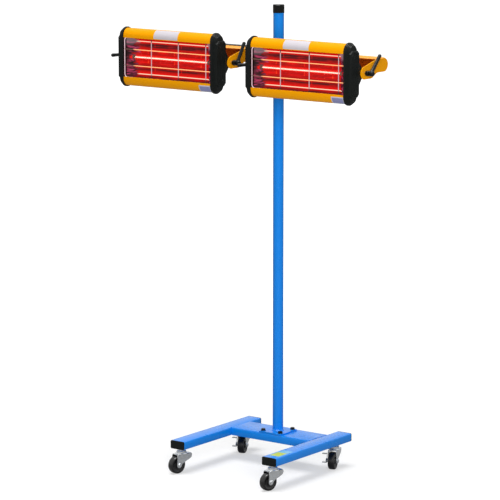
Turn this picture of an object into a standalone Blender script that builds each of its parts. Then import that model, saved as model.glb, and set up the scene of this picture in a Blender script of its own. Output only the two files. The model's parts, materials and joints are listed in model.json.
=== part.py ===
"""Two-head infrared paint-curing lamp on a rolling stand.

The mast's axis is vertical. Each head is as wide as it is because of the heater tube that
lies along X, the lamps look towards -Y, and the legs run from front to back.
"""

import math

import bmesh
import bpy
from mathutils import Matrix, Vector

# Clearances, in metres like every length here
FIT = 0.0003
RUNNING_FIT = 0.0005
OVERRUN = 0.004
WELD_WITHIN = 0.00001

# Base: two legs and a cross beam of rectangular tube
LEG_LENGTH = 0.455
LEG_WIDTH = 0.060
LEG_HEIGHT = 0.030
LEG_SPACING = 0.400
TUBE_WALL = 0.002
TUBE_CORNER = 0.004
BEAM_DEPTH = 0.115
BEAM_FROM_BACK = 0.063
PLUG_FLANGE = 0.004
PLUG_DEPTH = 0.012
PLUG_ROUNDING = 0.0015

# Base plate with its bolts
PLATE_SIDE = 0.100
PLATE_THICKNESS = 0.005
PLATE_CORNER = 0.006
BOLT_SPACING = 0.075
BOLT_DIAMETER = 0.008
BOLT_LENGTH = 0.014
BOLT_HEAD_WIDTH = 0.015
BOLT_HEAD_HEIGHT = 0.0055
WASHER_DIAMETER = 0.019
WASHER_THICKNESS = 0.0016

# Mast
TOTAL_HEIGHT = 1.648
POLE_DIAMETER = 0.038
POLE_WALL = 0.002
WELD_LEG = 0.004
CAP_WALL = 0.0013
CAP_HEIGHT = 0.029
CAP_TOP = 0.003
CAP_CHAMFER = 0.0015

# Casters
CASTER_HEIGHT = 0.088
WHEEL_DIAMETER = 0.063
WHEEL_WIDTH = 0.024
WHEEL_CROWN = 0.002
WHEEL_RIM = 0.007
WHEEL_HUB_DIAMETER = 0.024
WHEEL_DISH = 0.004
AXLE_DIAMETER = 0.008
AXLE_HEAD_WIDTH = 0.014
AXLE_HEAD = 0.005
TRAIL = 0.021
FORK_SHEET = 0.0025
FORK_PLAY = 0.002
FORK_TOP_LENGTH = 0.058
FORK_CORNER = 0.005
FORK_ROOF_CLEARANCE = 0.0045
AXLE_LOBE_DIAMETER = 0.020
RACE_DIAMETER = 0.050
RACE_WAIST = 0.034
STEM_DIAMETER = 0.012
STEM_LENGTH = 0.022
FRONT_STEM_FROM_END = 0.020
REAR_STEM_FROM_END = 0.061
FRONT_CASTER_TURN = math.radians(-14)
REAR_CASTER_TURN = math.radians(20)

# Brake pedal of the rear casters
PEDAL_SHEET = 0.002
PEDAL_TAB_LENGTH = 0.016
PEDAL_TAB_WIDTH = 0.012
PEDAL_TAB_THICKNESS = 0.004
PEDAL_REACH = 0.025
PEDAL_BOSS_DIAMETER = 0.020

# Height collar, swivel sleeve and their knobs
ROLL_AXIS_BELOW_TOP = 0.172
SLEEVE_DIAMETER = 0.050
SLEEVE_LENGTH = 0.100
COLLAR_DIAMETER = 0.056
COLLAR_LENGTH = 0.034
ARM_KNOB_HEIGHT_SHARE = 0.75
RING_CHAMFER = 0.002
KNOB_BOSS_DIAMETER = 0.022
KNOB_BOSS_LENGTH = 0.016
KNOB_STUD_DIAMETER = 0.008
KNOB_GAP = 0.004
KNOB_DIAMETER = 0.044
KNOB_THICKNESS = 0.014
KNOB_LOBES = 6
KNOB_LOBE_DEPTH = 0.003

# Crossbar in front of the sleeve
BAR_HEIGHT = 0.050
BAR_DEPTH = 0.030
BAR_LET_IN = 0.001
BAR_CAP = 0.003
BAR_CAP_EDGE = 0.001
BAR_PAST_PIVOT = 0.022

# Yokes: a pressed channel with two cheeks
YOKE_SHEET = 0.003
YOKE_GAP = 0.1138
YOKE_LOBE_DIAMETER = 0.046
HINGE_LOBE_DIAMETER = 0.043
HINGE_FORWARD = 0.117
HINGE_DROP = 0.018
TOP_FLANGE_DEPTH = 0.070
LOW_FLANGE_DEPTH = 0.030
CHEEK_LEVEL_REACH = 0.040
CHEEK_RISE_REACH = 0.073
PIVOT_DIAMETER = 0.012
PIVOT_HEAD_WIDTH = 0.024
PIVOT_HEAD = 0.008
PIVOT_WASHER_DIAMETER = 0.040
PIVOT_WASHER = 0.005
PIVOT_TAIL = 0.010

# Clamp levers
LEVER_HUB_DIAMETER = 0.017
LEVER_HUB_LENGTH = 0.041
LEVER_HUB_EDGE = 0.0015
LEVER_STUD_DIAMETER = 0.008
LEVER_STUD_DEPTH = 0.012
LEVER_STUD_ROOT = 0.010
LEVER_ARM_LENGTH = 0.075
LEVER_ARM_ROOT = 0.012
LEVER_ARM_TIP = 0.010
LEVER_BALL_DIAMETER = 0.014
LEVER_ARM_ALONG_SHARE = 0.45
RIGHT_LEVER_LEAN = math.radians(41)
LEFT_LEVER_LEAN = math.radians(-100)

# Lamp head: rolled shell, and end caps with a lug behind for the hinge
SHELL_LENGTH = 0.384
SHELL_HEIGHT = 0.204
HEAD_DEPTH = 0.052
SHELL_SHEET = 0.002
LIP_HEIGHT = 0.033
LIP_RETURN = 0.005
HINGE_BEHIND = 0.026
END_CAP_LENGTH = 0.0165
END_CAP_PROUD = 0.004
END_CAP_EDGE = 0.003
CROWN_FROM_END = 0.0205
CROWN_INSET = 0.001
CROWN_PROUD = 0.003
CROWN_CORNER = 0.008
CROWN_RISE = 0.0085
CROWN_RIBS = 4
RIB_GAP = 0.0025
RIB_DEPTH = 0.0015
LUG_RISE = 0.009
LUG_THICKNESS = 0.018
LUG_ROOT_HEIGHT = 0.072
LUG_DIAMETER = 0.032
LUG_NECK = 0.011

# Reflector, heater tube and guard
REFLECTOR_SHEET = 0.001
REFLECTOR_BEHIND_LIP = 0.006
REFLECTOR_FROM_CAP = 0.007
REFLECTOR_END_SLOPE = 0.039
REFLECTOR_DEPTH = 0.038
REFLECTOR_FLATNESS = 4
LAMP_DIAMETER = 0.010
LAMP_FROM_CAP = 0.020
LAMP_END_DIAMETER = 0.016
LAMP_END_LENGTH = 0.022
LAMP_FROM_REFLECTOR = 0.018
GUARD_WIRE = 0.003
GUARD_BEHIND_LIP = 0.006
GUARD_FROM_CAP = 0.017
GUARD_CORNER = 0.010
GUARD_SHIFT = -0.012
GUARD_BARS_UP = 2
GUARD_BARS_ALONG = 2
GUARD_UP_SPACING = 0.117
GUARD_ALONG_SPACING = 0.057

# Switch box on the back
SWITCH_BOX_LENGTH = 0.066
SWITCH_BOX_HEIGHT = 0.052
SWITCH_BOX_DEPTH = 0.024
SWITCH_BOX_ROUNDING = 0.003
SWITCH_BOX_RAISE = 0.054
ROCKER_LENGTH = 0.021
ROCKER_HEIGHT = 0.015
ROCKER_PROUD = 0.003
ROCKER_WAIST = 0.001
GLAND_DIAMETER = 0.018
GLAND_LENGTH = 0.016
GLAND_BORE = 0.008
GLAND_THREAD = 0.012
GLAND_THREAD_LENGTH = 0.010
GLAND_TAPER = 0.003

# Facets
POLE_SIDES = 24
WHEEL_SIDES = 20
RING_SIDES = 20
SMALL_SIDES = 12
BOLT_SIDES = 10
HEXAGON = 6
BALL_RINGS = 6
LOBE_STEPS = 4
ARC_STEPS = 4

# Heights and places worked out from those above
HALF_LEG_SPACING = LEG_SPACING / 2
LEG_UNDERSIDE = CASTER_HEIGHT
LEG_TOP = LEG_UNDERSIDE + LEG_HEIGHT
LEG_MIDDLE_Z = LEG_UNDERSIDE + LEG_HEIGHT / 2
BEAM_FRONT = -PLATE_SIDE / 2
BEAM_BACK = BEAM_FRONT + BEAM_DEPTH
LEG_BACK = BEAM_BACK + BEAM_FROM_BACK
LEG_FRONT = LEG_BACK - LEG_LENGTH
PLATE_BOTTOM = LEG_TOP + FIT
PLATE_TOP = PLATE_BOTTOM + PLATE_THICKNESS
POLE_BOTTOM = PLATE_TOP + FIT
POLE_TOP = TOTAL_HEIGHT - CAP_TOP - FIT
POLE_RADIUS = POLE_DIAMETER / 2
ROLL_AXIS_HEIGHT = TOTAL_HEIGHT - ROLL_AXIS_BELOW_TOP
RING_BORE = POLE_RADIUS + FIT
SLEEVE_RADIUS = SLEEVE_DIAMETER / 2
BAR_BACK = -SLEEVE_RADIUS + BAR_LET_IN
BAR_FRONT = BAR_BACK - BAR_DEPTH
WEB_BACK = BAR_FRONT - PIVOT_WASHER - FIT
LOBE_Y = WEB_BACK - YOKE_LOBE_DIAMETER / 2
HINGE_Y = LOBE_Y - HINGE_FORWARD
HALF_SHELL = SHELL_LENGTH / 2
MOUTH_HEIGHT = SHELL_HEIGHT - 2 * LIP_HEIGHT
CROWN_HEIGHT = SHELL_HEIGHT - 2 * CROWN_FROM_END
REFLECTOR_HEIGHT = MOUTH_HEIGHT + 2 * REFLECTOR_BEHIND_LIP
REFLECTOR_HALF_FRONT = HALF_SHELL - REFLECTOR_FROM_CAP
REFLECTOR_HALF_BACK = REFLECTOR_HALF_FRONT - REFLECTOR_END_SLOPE
LAMP_LENGTH = SHELL_LENGTH - 2 * LAMP_FROM_CAP
GUARD_HEIGHT = MOUTH_HEIGHT + 2 * GUARD_BEHIND_LIP
GUARD_LENGTH = SHELL_LENGTH - 2 * GUARD_FROM_CAP
SWITCH_BOX_DROP = SHELL_HEIGHT / 2 - SWITCH_BOX_RAISE
CAP_OUTER_X = HALF_SHELL + FIT + END_CAP_LENGTH
CHEEK_INNER_X = CAP_OUTER_X + LUG_RISE + FIT
CHEEK_OUTER_X = CHEEK_INNER_X + YOKE_SHEET
HALF_HEAD_SPACING = CHEEK_OUTER_X + YOKE_GAP / 2
BAR_LENGTH = 2 * (HALF_HEAD_SPACING + BAR_PAST_PIVOT)
WHEEL_RADIUS = WHEEL_DIAMETER / 2
FRONT_STEM_Y = LEG_FRONT + FRONT_STEM_FROM_END
REAR_STEM_Y = LEG_BACK - REAR_STEM_FROM_END
FRONT_REACH = (
    -FRONT_STEM_Y
    + TRAIL * math.cos(FRONT_CASTER_TURN)
    + WHEEL_RADIUS * math.cos(FRONT_CASTER_TURN)
    + (WHEEL_WIDTH / 2 - WHEEL_CROWN) * math.sin(-FRONT_CASTER_TURN)
)
BACK_REACH = LEG_BACK + PLUG_FLANGE + FIT
POLE_Y = (FRONT_REACH - BACK_REACH) / 2

# Turns that carry a shape drawn flat, or stood along Z, to where it belongs
FLAT_TO_SIDE = Matrix.Rotation(math.pi / 2, 4, "Z") @ Matrix.Rotation(math.pi / 2, 4, "X")
FLAT_TO_FRONT = Matrix.Rotation(math.pi / 2, 4, "X")
UP_TO_X = Matrix.Rotation(math.pi / 2, 4, "Y")
UP_TO_BACK = Matrix.Rotation(-math.pi / 2, 4, "X")


def clear_scene():
    for obj in list(bpy.data.objects):
        bpy.data.objects.remove(obj, do_unlink=True)


def new_collection(name):
    collection = bpy.data.collections.new(name)
    bpy.context.scene.collection.children.link(collection)
    return collection


clear_scene()
LAMP = new_collection("infrared_lamp")
CUTTERS = new_collection("cutters")
CUTTERS.hide_render = True


def finish(name, colour, roughness, metallic):
    material = bpy.data.materials.new(name)
    material.use_nodes = True
    shader = material.node_tree.nodes["Principled BSDF"]
    shader.inputs["Base Color"].default_value = (*colour, 1)
    shader.inputs["Roughness"].default_value = roughness
    shader.inputs["Metallic"].default_value = metallic
    return material


BLUE = finish("blue powder coat", (0.005, 0.16, 0.75), 0.3, 0.0)
YELLOW = finish("yellow powder coat", (1.0, 0.42, 0.0), 0.35, 0.0)
BLACK = finish("black plastic", (0.012, 0.012, 0.014), 0.4, 0.0)
BLACK_STEEL = finish("black painted steel", (0.01, 0.01, 0.01), 0.35, 0.2)
ZINC = finish("zinc plated steel", (0.55, 0.56, 0.57), 0.3, 1.0)
RUBBER = finish("black rubber", (0.015, 0.015, 0.015), 0.7, 0.0)
POLISHED = finish("polished aluminium", (0.85, 0.86, 0.88), 0.08, 1.0)
CHROME = finish("chromed wire", (0.7, 0.7, 0.72), 0.15, 1.0)
QUARTZ = finish("glowing quartz", (1.0, 0.25, 0.05), 0.1, 0.0)


# Small tools

def joint(name, place, parent=None):
    """An empty on a joint's axis, placed in its parent's frame."""
    empty = bpy.data.objects.new(name, None)
    empty.location = place
    empty.parent = parent
    LAMP.objects.link(empty)
    return empty


def piece(name, mesh, material, parent=None):
    """A mesh object with smooth round sides and crisp edges."""
    obj = bpy.data.objects.new(name, mesh)
    obj.parent = parent
    mesh.materials.clear()
    mesh.materials.append(material)
    mesh.shade_smooth()
    mesh.set_sharp_from_angle(angle=math.radians(35))
    LAMP.objects.link(obj)
    return obj


def helper(obj):
    """Moves an object among the cutters, where nothing renders it."""
    for collection in list(obj.users_collection):
        collection.objects.unlink(obj)
    CUTTERS.objects.link(obj)
    obj.hide_render = True
    obj.display_type = "WIRE"
    return obj


def combine(obj, mesh, operation, matrix=None):
    """Joins a mesh to an object, or cuts it out, in the object's own frame."""
    if matrix is not None:
        mesh.transform(matrix)
    other = bpy.data.objects.new(f"{obj.name}_{operation.lower()}", mesh)
    other.parent = obj.parent
    helper(other)
    modifier = obj.modifiers.new(operation.lower(), "BOOLEAN")
    modifier.operation = operation
    modifier.object = other
    return obj


def join(obj, mesh, matrix=None):
    return combine(obj, mesh, "UNION", matrix)


def cut(obj, mesh, matrix=None):
    return combine(obj, mesh, "DIFFERENCE", matrix)


def round_edges(obj, width, segments=1, degrees=30):
    bevel = obj.modifiers.new("rounded edges", "BEVEL")
    bevel.width = width
    bevel.segments = segments
    bevel.limit_method = "ANGLE"
    bevel.angle_limit = math.radians(degrees)
    return obj


def box(size, centre=(0, 0, 0)):
    mesh = bpy.data.meshes.new("box")
    form = bmesh.new()
    place = Matrix.Translation(Vector(centre)) @ Matrix.Diagonal((*size, 1))
    bmesh.ops.create_cube(form, size=1, matrix=place)
    form.to_mesh(mesh)
    form.free()
    return mesh


def rod(diameter, length, sides=SMALL_SIDES, centre=(0, 0, 0), turn=None, end_diameter=None):
    """A cylinder or cone along Z, turned if asked and then moved to its centre."""
    mesh = bpy.data.meshes.new("rod")
    form = bmesh.new()
    far = diameter if end_diameter is None else end_diameter
    place = Matrix.Translation(Vector(centre)) @ (turn or Matrix.Identity(4))
    bmesh.ops.create_cone(
        form,
        cap_ends=True,
        segments=sides,
        radius1=diameter / 2,
        radius2=far / 2,
        depth=length,
        matrix=place,
    )
    form.to_mesh(mesh)
    form.free()
    return mesh


def ball(diameter, centre):
    mesh = bpy.data.meshes.new("ball")
    form = bmesh.new()
    place = Matrix.Translation(Vector(centre))
    bmesh.ops.create_uvsphere(
        form, u_segments=BOLT_SIDES, v_segments=BALL_RINGS, radius=diameter / 2, matrix=place
    )
    form.to_mesh(mesh)
    form.free()
    return mesh


def arc(centre, radius, start, end, steps=ARC_STEPS):
    """Points on an arc, from one angle in degrees to another."""
    angles = [math.radians(start + (end - start) * step / steps) for step in range(steps + 1)]
    return [(centre[0] + radius * math.cos(a), centre[1] + radius * math.sin(a)) for a in angles]


def circle(centre, diameter, sides=SMALL_SIDES):
    return arc(centre, diameter / 2, 0, 360, sides)[:-1]


def rounded_rectangle(width, height, corner, centre=(0, 0), steps=2):
    points = []
    for number, (side, rise) in enumerate(((1, 1), (-1, 1), (-1, -1), (1, -1))):
        middle = (
            centre[0] + side * (width / 2 - corner),
            centre[1] + rise * (height / 2 - corner),
        )
        points += arc(middle, corner, 90 * number, 90 * number + 90, steps)
    return points


def slab(outlines, thickness, turn=None, centre=(0, 0, 0)):
    """Flat outlines, the first solid and the rest holes, given a thickness."""
    curve = bpy.data.curves.new("slab", "CURVE")
    curve.dimensions = "2D"
    curve.fill_mode = "BOTH"
    curve.extrude = thickness / 2
    for outline in outlines:
        spline = curve.splines.new("POLY")
        spline.points.add(len(outline) - 1)
        for point, (across, up) in zip(spline.points, outline):
            point.co = (across, up, 0, 1)
        spline.use_cyclic_u = True
    mesh = solid_of(curve)
    mesh.transform(Matrix.Translation(Vector(centre)) @ (turn or Matrix.Identity(4)))
    return mesh


def wire(points, diameter, closed=False, sides_level=1):
    curve = bpy.data.curves.new("wire", "CURVE")
    curve.dimensions = "3D"
    curve.bevel_depth = diameter / 2
    curve.bevel_resolution = sides_level
    curve.use_fill_caps = True
    spline = curve.splines.new("POLY")
    spline.points.add(len(points) - 1)
    for point, place in zip(spline.points, points):
        point.co = (*place, 1)
    spline.use_cyclic_u = closed
    return solid_of(curve)


def solid_of(curve):
    """The closed mesh of a curve, with its caps welded on."""
    temporary = bpy.data.objects.new("temporary", curve)
    LAMP.objects.link(temporary)
    graph = bpy.context.evaluated_depsgraph_get()
    mesh = bpy.data.meshes.new_from_object(temporary.evaluated_get(graph))
    bpy.data.objects.remove(temporary, do_unlink=True)
    form = bmesh.new()
    form.from_mesh(mesh)
    bmesh.ops.remove_doubles(form, verts=form.verts, dist=WELD_WITHIN)
    form.to_mesh(mesh)
    form.free()
    return mesh


def profile_mesh(points, closed):
    """A profile of (radius, height) points, as edges for a Screw modifier."""
    mesh = bpy.data.meshes.new("profile")
    edges = [(i, i + 1) for i in range(len(points) - 1)]
    if closed:
        edges.append((len(points) - 1, 0))
    mesh.from_pydata([(r, 0, z) for r, z in points], edges, [])
    return mesh


def turned(name, points, material, parent, closed=False, sides=RING_SIDES):
    """A piece turned about Z. Its profile runs down its outer side."""
    obj = piece(name, profile_mesh(points, closed), material, parent)
    screw = obj.modifiers.new("turned", "SCREW")
    screw.steps = sides
    screw.render_steps = sides
    screw.use_merge_vertices = True
    screw.merge_threshold = WELD_WITHIN
    screw.use_normal_calculate = False
    return obj


def lathe(points, closed=False, sides=RING_SIDES, turn=None, centre=(0, 0, 0)):
    """The mesh of a turned shape, to be joined to another piece."""
    obj = turned("temporary", points, ZINC, None, closed, sides)
    graph = bpy.context.evaluated_depsgraph_get()
    mesh = bpy.data.meshes.new_from_object(obj.evaluated_get(graph))
    bpy.data.objects.remove(obj, do_unlink=True)
    mesh.transform(Matrix.Translation(Vector(centre)) @ (turn or Matrix.Identity(4)))
    return mesh


# Stand

def rectangular_tube(width, height, length, turn, centre):
    outer = rounded_rectangle(width, height, TUBE_CORNER)
    inner = rounded_rectangle(
        width - 2 * TUBE_WALL, height - 2 * TUBE_WALL, TUBE_CORNER - TUBE_WALL
    )
    return slab([outer, inner], length, turn, centre)


def leg(side, label, stand):
    middle = (side * HALF_LEG_SPACING, (LEG_FRONT + LEG_BACK) / 2, LEG_MIDDLE_Z)
    tube = rectangular_tube(LEG_WIDTH, LEG_HEIGHT, LEG_LENGTH, FLAT_TO_FRONT, middle)
    obj = piece(f"leg_{label}", tube, BLUE, stand)
    for stem_y in (FRONT_STEM_Y, REAR_STEM_Y):
        hole = rod(
            STEM_DIAMETER + 2 * FIT,
            TUBE_WALL + 2 * OVERRUN,
            centre=(side * HALF_LEG_SPACING, stem_y, LEG_UNDERSIDE + TUBE_WALL / 2),
        )
        cut(obj, hole)
    for end, end_y, out in (("front", LEG_FRONT, -1), ("rear", LEG_BACK, 1)):
        plug(f"leg_plug_{end}_{label}", side * HALF_LEG_SPACING, end_y, out, stand)


def plug(name, x, end_y, out, stand):
    """A leg's end plug: a flange against the end and a block inside the tube."""
    flange = slab(
        [rounded_rectangle(LEG_WIDTH, LEG_HEIGHT, TUBE_CORNER)],
        PLUG_FLANGE,
        FLAT_TO_FRONT,
        (x, end_y + out * (PLUG_FLANGE / 2 + FIT), LEG_MIDDLE_Z),
    )
    obj = piece(name, flange, BLACK, stand)
    reach = PLUG_DEPTH + PLUG_FLANGE / 2
    block = box(
        (LEG_WIDTH - 2 * TUBE_CORNER - FIT, reach, LEG_HEIGHT - 2 * TUBE_CORNER - FIT),
        (x, end_y + out * (PLUG_FLANGE / 2 - reach / 2), LEG_MIDDLE_Z),
    )
    round_edges(obj, PLUG_ROUNDING)
    join(obj, block)


def base(stand):
    for side, label in ((-1, "left"), (1, "right")):
        leg(side, label, stand)
    span = LEG_SPACING - LEG_WIDTH - 2 * FIT
    middle = (0, (BEAM_FRONT + BEAM_BACK) / 2, LEG_MIDDLE_Z)
    tube = rectangular_tube(BEAM_DEPTH, LEG_HEIGHT, span, Matrix.Identity(4), (0, 0, 0))
    tube.transform(
        Matrix.Translation(Vector(middle))
        @ Matrix.Rotation(math.pi / 2, 4, "Z")
        @ Matrix.Rotation(math.pi / 2, 4, "X")
    )
    beam = piece("cross_beam", tube, BLUE, stand)
    for x, y in bolt_places():
        place = (x, y, LEG_TOP - TUBE_WALL / 2)
        cut(beam, rod(BOLT_DIAMETER + 2 * FIT, TUBE_WALL + 2 * OVERRUN, BOLT_SIDES, place))
    base_plate(stand)


def bolt_places():
    half = BOLT_SPACING / 2
    return [(across * half, along * half) for across in (-1, 1) for along in (-1, 1)]


def base_plate(stand):
    holes = [circle(place, BOLT_DIAMETER + 2 * FIT, BOLT_SIDES) for place in bolt_places()]
    plate = slab(
        [rounded_rectangle(PLATE_SIDE, PLATE_SIDE, PLATE_CORNER)] + holes,
        PLATE_THICKNESS,
        centre=(0, 0, PLATE_BOTTOM + PLATE_THICKNESS / 2),
    )
    piece("base_plate", plate, BLUE, stand)
    for number, (x, y) in enumerate(bolt_places(), 1):
        bolt(f"base_bolt_{number}", x, y, stand)


def bolt(name, x, y, stand):
    """A hexagon bolt with its washer, through the plate and the beam's upper wall."""
    seat = PLATE_TOP + FIT
    washer = rod(
        WASHER_DIAMETER, WASHER_THICKNESS, BOLT_SIDES, (x, y, seat + WASHER_THICKNESS / 2)
    )
    obj = piece(name, washer, BLACK_STEEL, stand)
    head_top = seat + WASHER_THICKNESS + BOLT_HEAD_HEIGHT
    head_bottom = seat + WASHER_THICKNESS / 2
    head = rod(
        BOLT_HEAD_WIDTH, head_top - head_bottom, HEXAGON, (x, y, (head_top + head_bottom) / 2)
    )
    join(obj, head)
    shank_top = head_bottom
    shank_bottom = seat - BOLT_LENGTH
    shank = rod(
        BOLT_DIAMETER,
        shank_top - shank_bottom,
        BOLT_SIDES,
        (x, y, (shank_top + shank_bottom) / 2),
    )
    join(obj, shank)


def mast(stand):
    inner = POLE_RADIUS - POLE_WALL
    turned(
        "pole",
        [
            (POLE_RADIUS, POLE_TOP),
            (POLE_RADIUS, POLE_BOTTOM + WELD_LEG),
            (POLE_RADIUS + WELD_LEG, POLE_BOTTOM),
            (inner, POLE_BOTTOM),
            (inner, POLE_TOP),
        ],
        BLUE,
        stand,
        closed=True,
        sides=POLE_SIDES,
    )
    outer = POLE_RADIUS + CAP_WALL
    bottom = TOTAL_HEIGHT - CAP_HEIGHT
    bore = POLE_RADIUS + FIT
    turned(
        "pole_cap",
        [
            (0, TOTAL_HEIGHT),
            (outer - CAP_CHAMFER, TOTAL_HEIGHT),
            (outer, TOTAL_HEIGHT - CAP_CHAMFER),
            (outer, bottom),
            (bore, bottom),
            (bore, TOTAL_HEIGHT - CAP_TOP),
            (0, TOTAL_HEIGHT - CAP_TOP),
        ],
        BLACK,
        stand,
        sides=POLE_SIDES,
    )


# Casters, each drawn with its stem on Z and its wheel trailing towards -Y

def caster(label, x, y, turn, braked, stand):
    swivel = joint(f"swivel_{label}", (x, y, 0), stand)
    swivel.rotation_euler = (0, 0, turn)
    fork(label, swivel)
    hub = joint(f"axle_{label}", (0, -TRAIL, WHEEL_RADIUS), swivel)
    wheel(label, hub)
    if braked:
        brake(label, hub)


FORK_INSIDE = WHEEL_WIDTH + 2 * FORK_PLAY
FORK_OUTSIDE = FORK_INSIDE + 2 * FORK_SHEET
FORK_ROOF = WHEEL_DIAMETER + FORK_ROOF_CLEARANCE


def fork(label, swivel):
    roof_middle = FORK_ROOF + FORK_SHEET / 2
    roof = slab(
        [rounded_rectangle(FORK_OUTSIDE, FORK_TOP_LENGTH, FORK_CORNER)],
        FORK_SHEET,
        centre=(0, 0, roof_middle),
    )
    obj = piece(f"fork_{label}", roof, ZINC, swivel)
    half = FORK_TOP_LENGTH / 2
    lobe = AXLE_LOBE_DIAMETER / 2
    outline = [(half - FORK_SHEET, roof_middle), (-half, roof_middle)]
    outline += arc((-TRAIL, WHEEL_RADIUS), lobe, 170, 340)
    for side in (-1, 1):
        cheek = slab(
            [outline],
            FORK_SHEET,
            FLAT_TO_SIDE,
            (side * (FORK_INSIDE + FORK_SHEET) / 2, 0, 0),
        )
        join(obj, cheek)
    race_top = CASTER_HEIGHT - FIT
    stem_top = race_top + STEM_LENGTH
    join(
        obj,
        lathe(
            [
                (0, stem_top),
                (STEM_DIAMETER / 2, stem_top),
                (STEM_DIAMETER / 2, race_top),
                (RACE_WAIST / 2, race_top),
                (RACE_DIAMETER / 2, (race_top + roof_middle) / 2),
                (RACE_DIAMETER / 2, roof_middle),
                (0, roof_middle),
            ],
            sides=SMALL_SIDES,
        ),
    )
    place = (0, -TRAIL, WHEEL_RADIUS)
    join(obj, rod(AXLE_DIAMETER, FORK_OUTSIDE, BOLT_SIDES, place, UP_TO_X))
    for side in (-1, 1):
        spot = (side * (FORK_OUTSIDE / 2 + AXLE_HEAD / 2 - FORK_SHEET / 2), -TRAIL, WHEEL_RADIUS)
        join(obj, rod(AXLE_HEAD_WIDTH, AXLE_HEAD + FORK_SHEET, HEXAGON, spot, UP_TO_X))


def wheel(label, hub):
    half = WHEEL_WIDTH / 2
    rim = WHEEL_RADIUS - WHEEL_RIM
    nave = WHEEL_HUB_DIAMETER / 2
    bore = AXLE_DIAMETER / 2 + RUNNING_FIT
    obj = turned(
        f"wheel_{label}",
        [
            (bore, half),
            (nave, half),
            (nave, half - WHEEL_DISH),
            (rim, half - WHEEL_DISH),
            (rim, half),
            (WHEEL_RADIUS - WHEEL_CROWN, half),
            (WHEEL_RADIUS, half - WHEEL_CROWN),
            (WHEEL_RADIUS, WHEEL_CROWN - half),
            (WHEEL_RADIUS - WHEEL_CROWN, -half),
            (rim, -half),
            (rim, WHEEL_DISH - half),
            (nave, WHEEL_DISH - half),
            (nave, -half),
            (bore, -half),
        ],
        RUBBER,
        hub,
        closed=True,
        sides=WHEEL_SIDES,
    )
    obj.rotation_euler = (0, math.pi / 2, 0)


def brake(label, hub):
    """The pedal hangs on the axle bolt, outside the fork's left cheek."""
    start = -(FORK_OUTSIDE / 2 + AXLE_HEAD + FIT + PEDAL_SHEET / 2)
    up = PEDAL_REACH
    outline = arc((0, 0), PEDAL_BOSS_DIAMETER / 2, 60, 300)
    down = WHEEL_RADIUS - PEDAL_REACH
    half = PEDAL_TAB_WIDTH / 2
    outline += [(half, -down), (half, up)]
    obj = piece(
        f"brake_pedal_{label}",
        slab([outline], PEDAL_SHEET, FLAT_TO_SIDE, (start, 0, 0)),
        ZINC,
        hub,
    )
    for height in (up, -down):
        tab = box(
            (PEDAL_TAB_LENGTH, PEDAL_TAB_WIDTH, PEDAL_TAB_THICKNESS),
            (start - (PEDAL_TAB_LENGTH - PEDAL_SHEET) / 2, 0, height),
        )
        join(obj, tab)


def casters(stand):
    for side, label in ((-1, "left"), (1, "right")):
        x = side * HALF_LEG_SPACING
        caster(f"front_{label}", x, FRONT_STEM_Y, FRONT_CASTER_TURN, False, stand)
        caster(f"rear_{label}", x, REAR_STEM_Y, REAR_CASTER_TURN, True, stand)


# Arm

def star_knob(name, material, parent, start):
    """A lobed grip turned about Y, whose front face is at start."""
    points = []
    steps = KNOB_LOBES * LOBE_STEPS
    for step in range(steps):
        angle = 2 * math.pi * step / steps
        radius = KNOB_DIAMETER / 2 - KNOB_LOBE_DEPTH * (1 - math.cos(KNOB_LOBES * angle)) / 2
        points.append((radius * math.cos(angle), radius * math.sin(angle)))
    grip = slab([points], KNOB_THICKNESS, FLAT_TO_FRONT, (0, start + KNOB_THICKNESS / 2, 0))
    return piece(name, grip, material, parent)


def clamp_ring(name, diameter, length, bottom, boss_z, material, parent):
    """A ring round the pole with a threaded boss on its back."""
    outer = diameter / 2
    top = bottom + length
    obj = turned(
        name,
        [
            (RING_BORE, top),
            (outer - RING_CHAMFER, top),
            (outer, top - RING_CHAMFER),
            (outer, bottom + RING_CHAMFER),
            (outer - RING_CHAMFER, bottom),
            (RING_BORE, bottom),
        ],
        material,
        parent,
        closed=True,
    )
    wall = outer - RING_BORE
    reach = KNOB_BOSS_LENGTH + wall / 2
    boss_middle = outer - wall / 2 + reach / 2
    join(obj, rod(KNOB_BOSS_DIAMETER, reach, centre=(0, boss_middle, boss_z), turn=UP_TO_BACK))
    bore = rod(
        KNOB_STUD_DIAMETER + 2 * FIT,
        reach + wall + OVERRUN,
        centre=(0, boss_middle, boss_z),
        turn=UP_TO_BACK,
    )
    cut(obj, bore)
    return outer + KNOB_BOSS_LENGTH


def clamp_knob(name, ring_end, material, parent):
    """A star knob whose stud runs through the boss to just short of the pole."""
    start = ring_end + KNOB_GAP
    obj = star_knob(name, material, parent, start)
    tip = RING_BORE + FIT
    reach = start + KNOB_THICKNESS / 2 - tip
    stud = rod(KNOB_STUD_DIAMETER, reach, centre=(0, tip + reach / 2, 0), turn=UP_TO_BACK)
    join(obj, stud)


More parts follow.
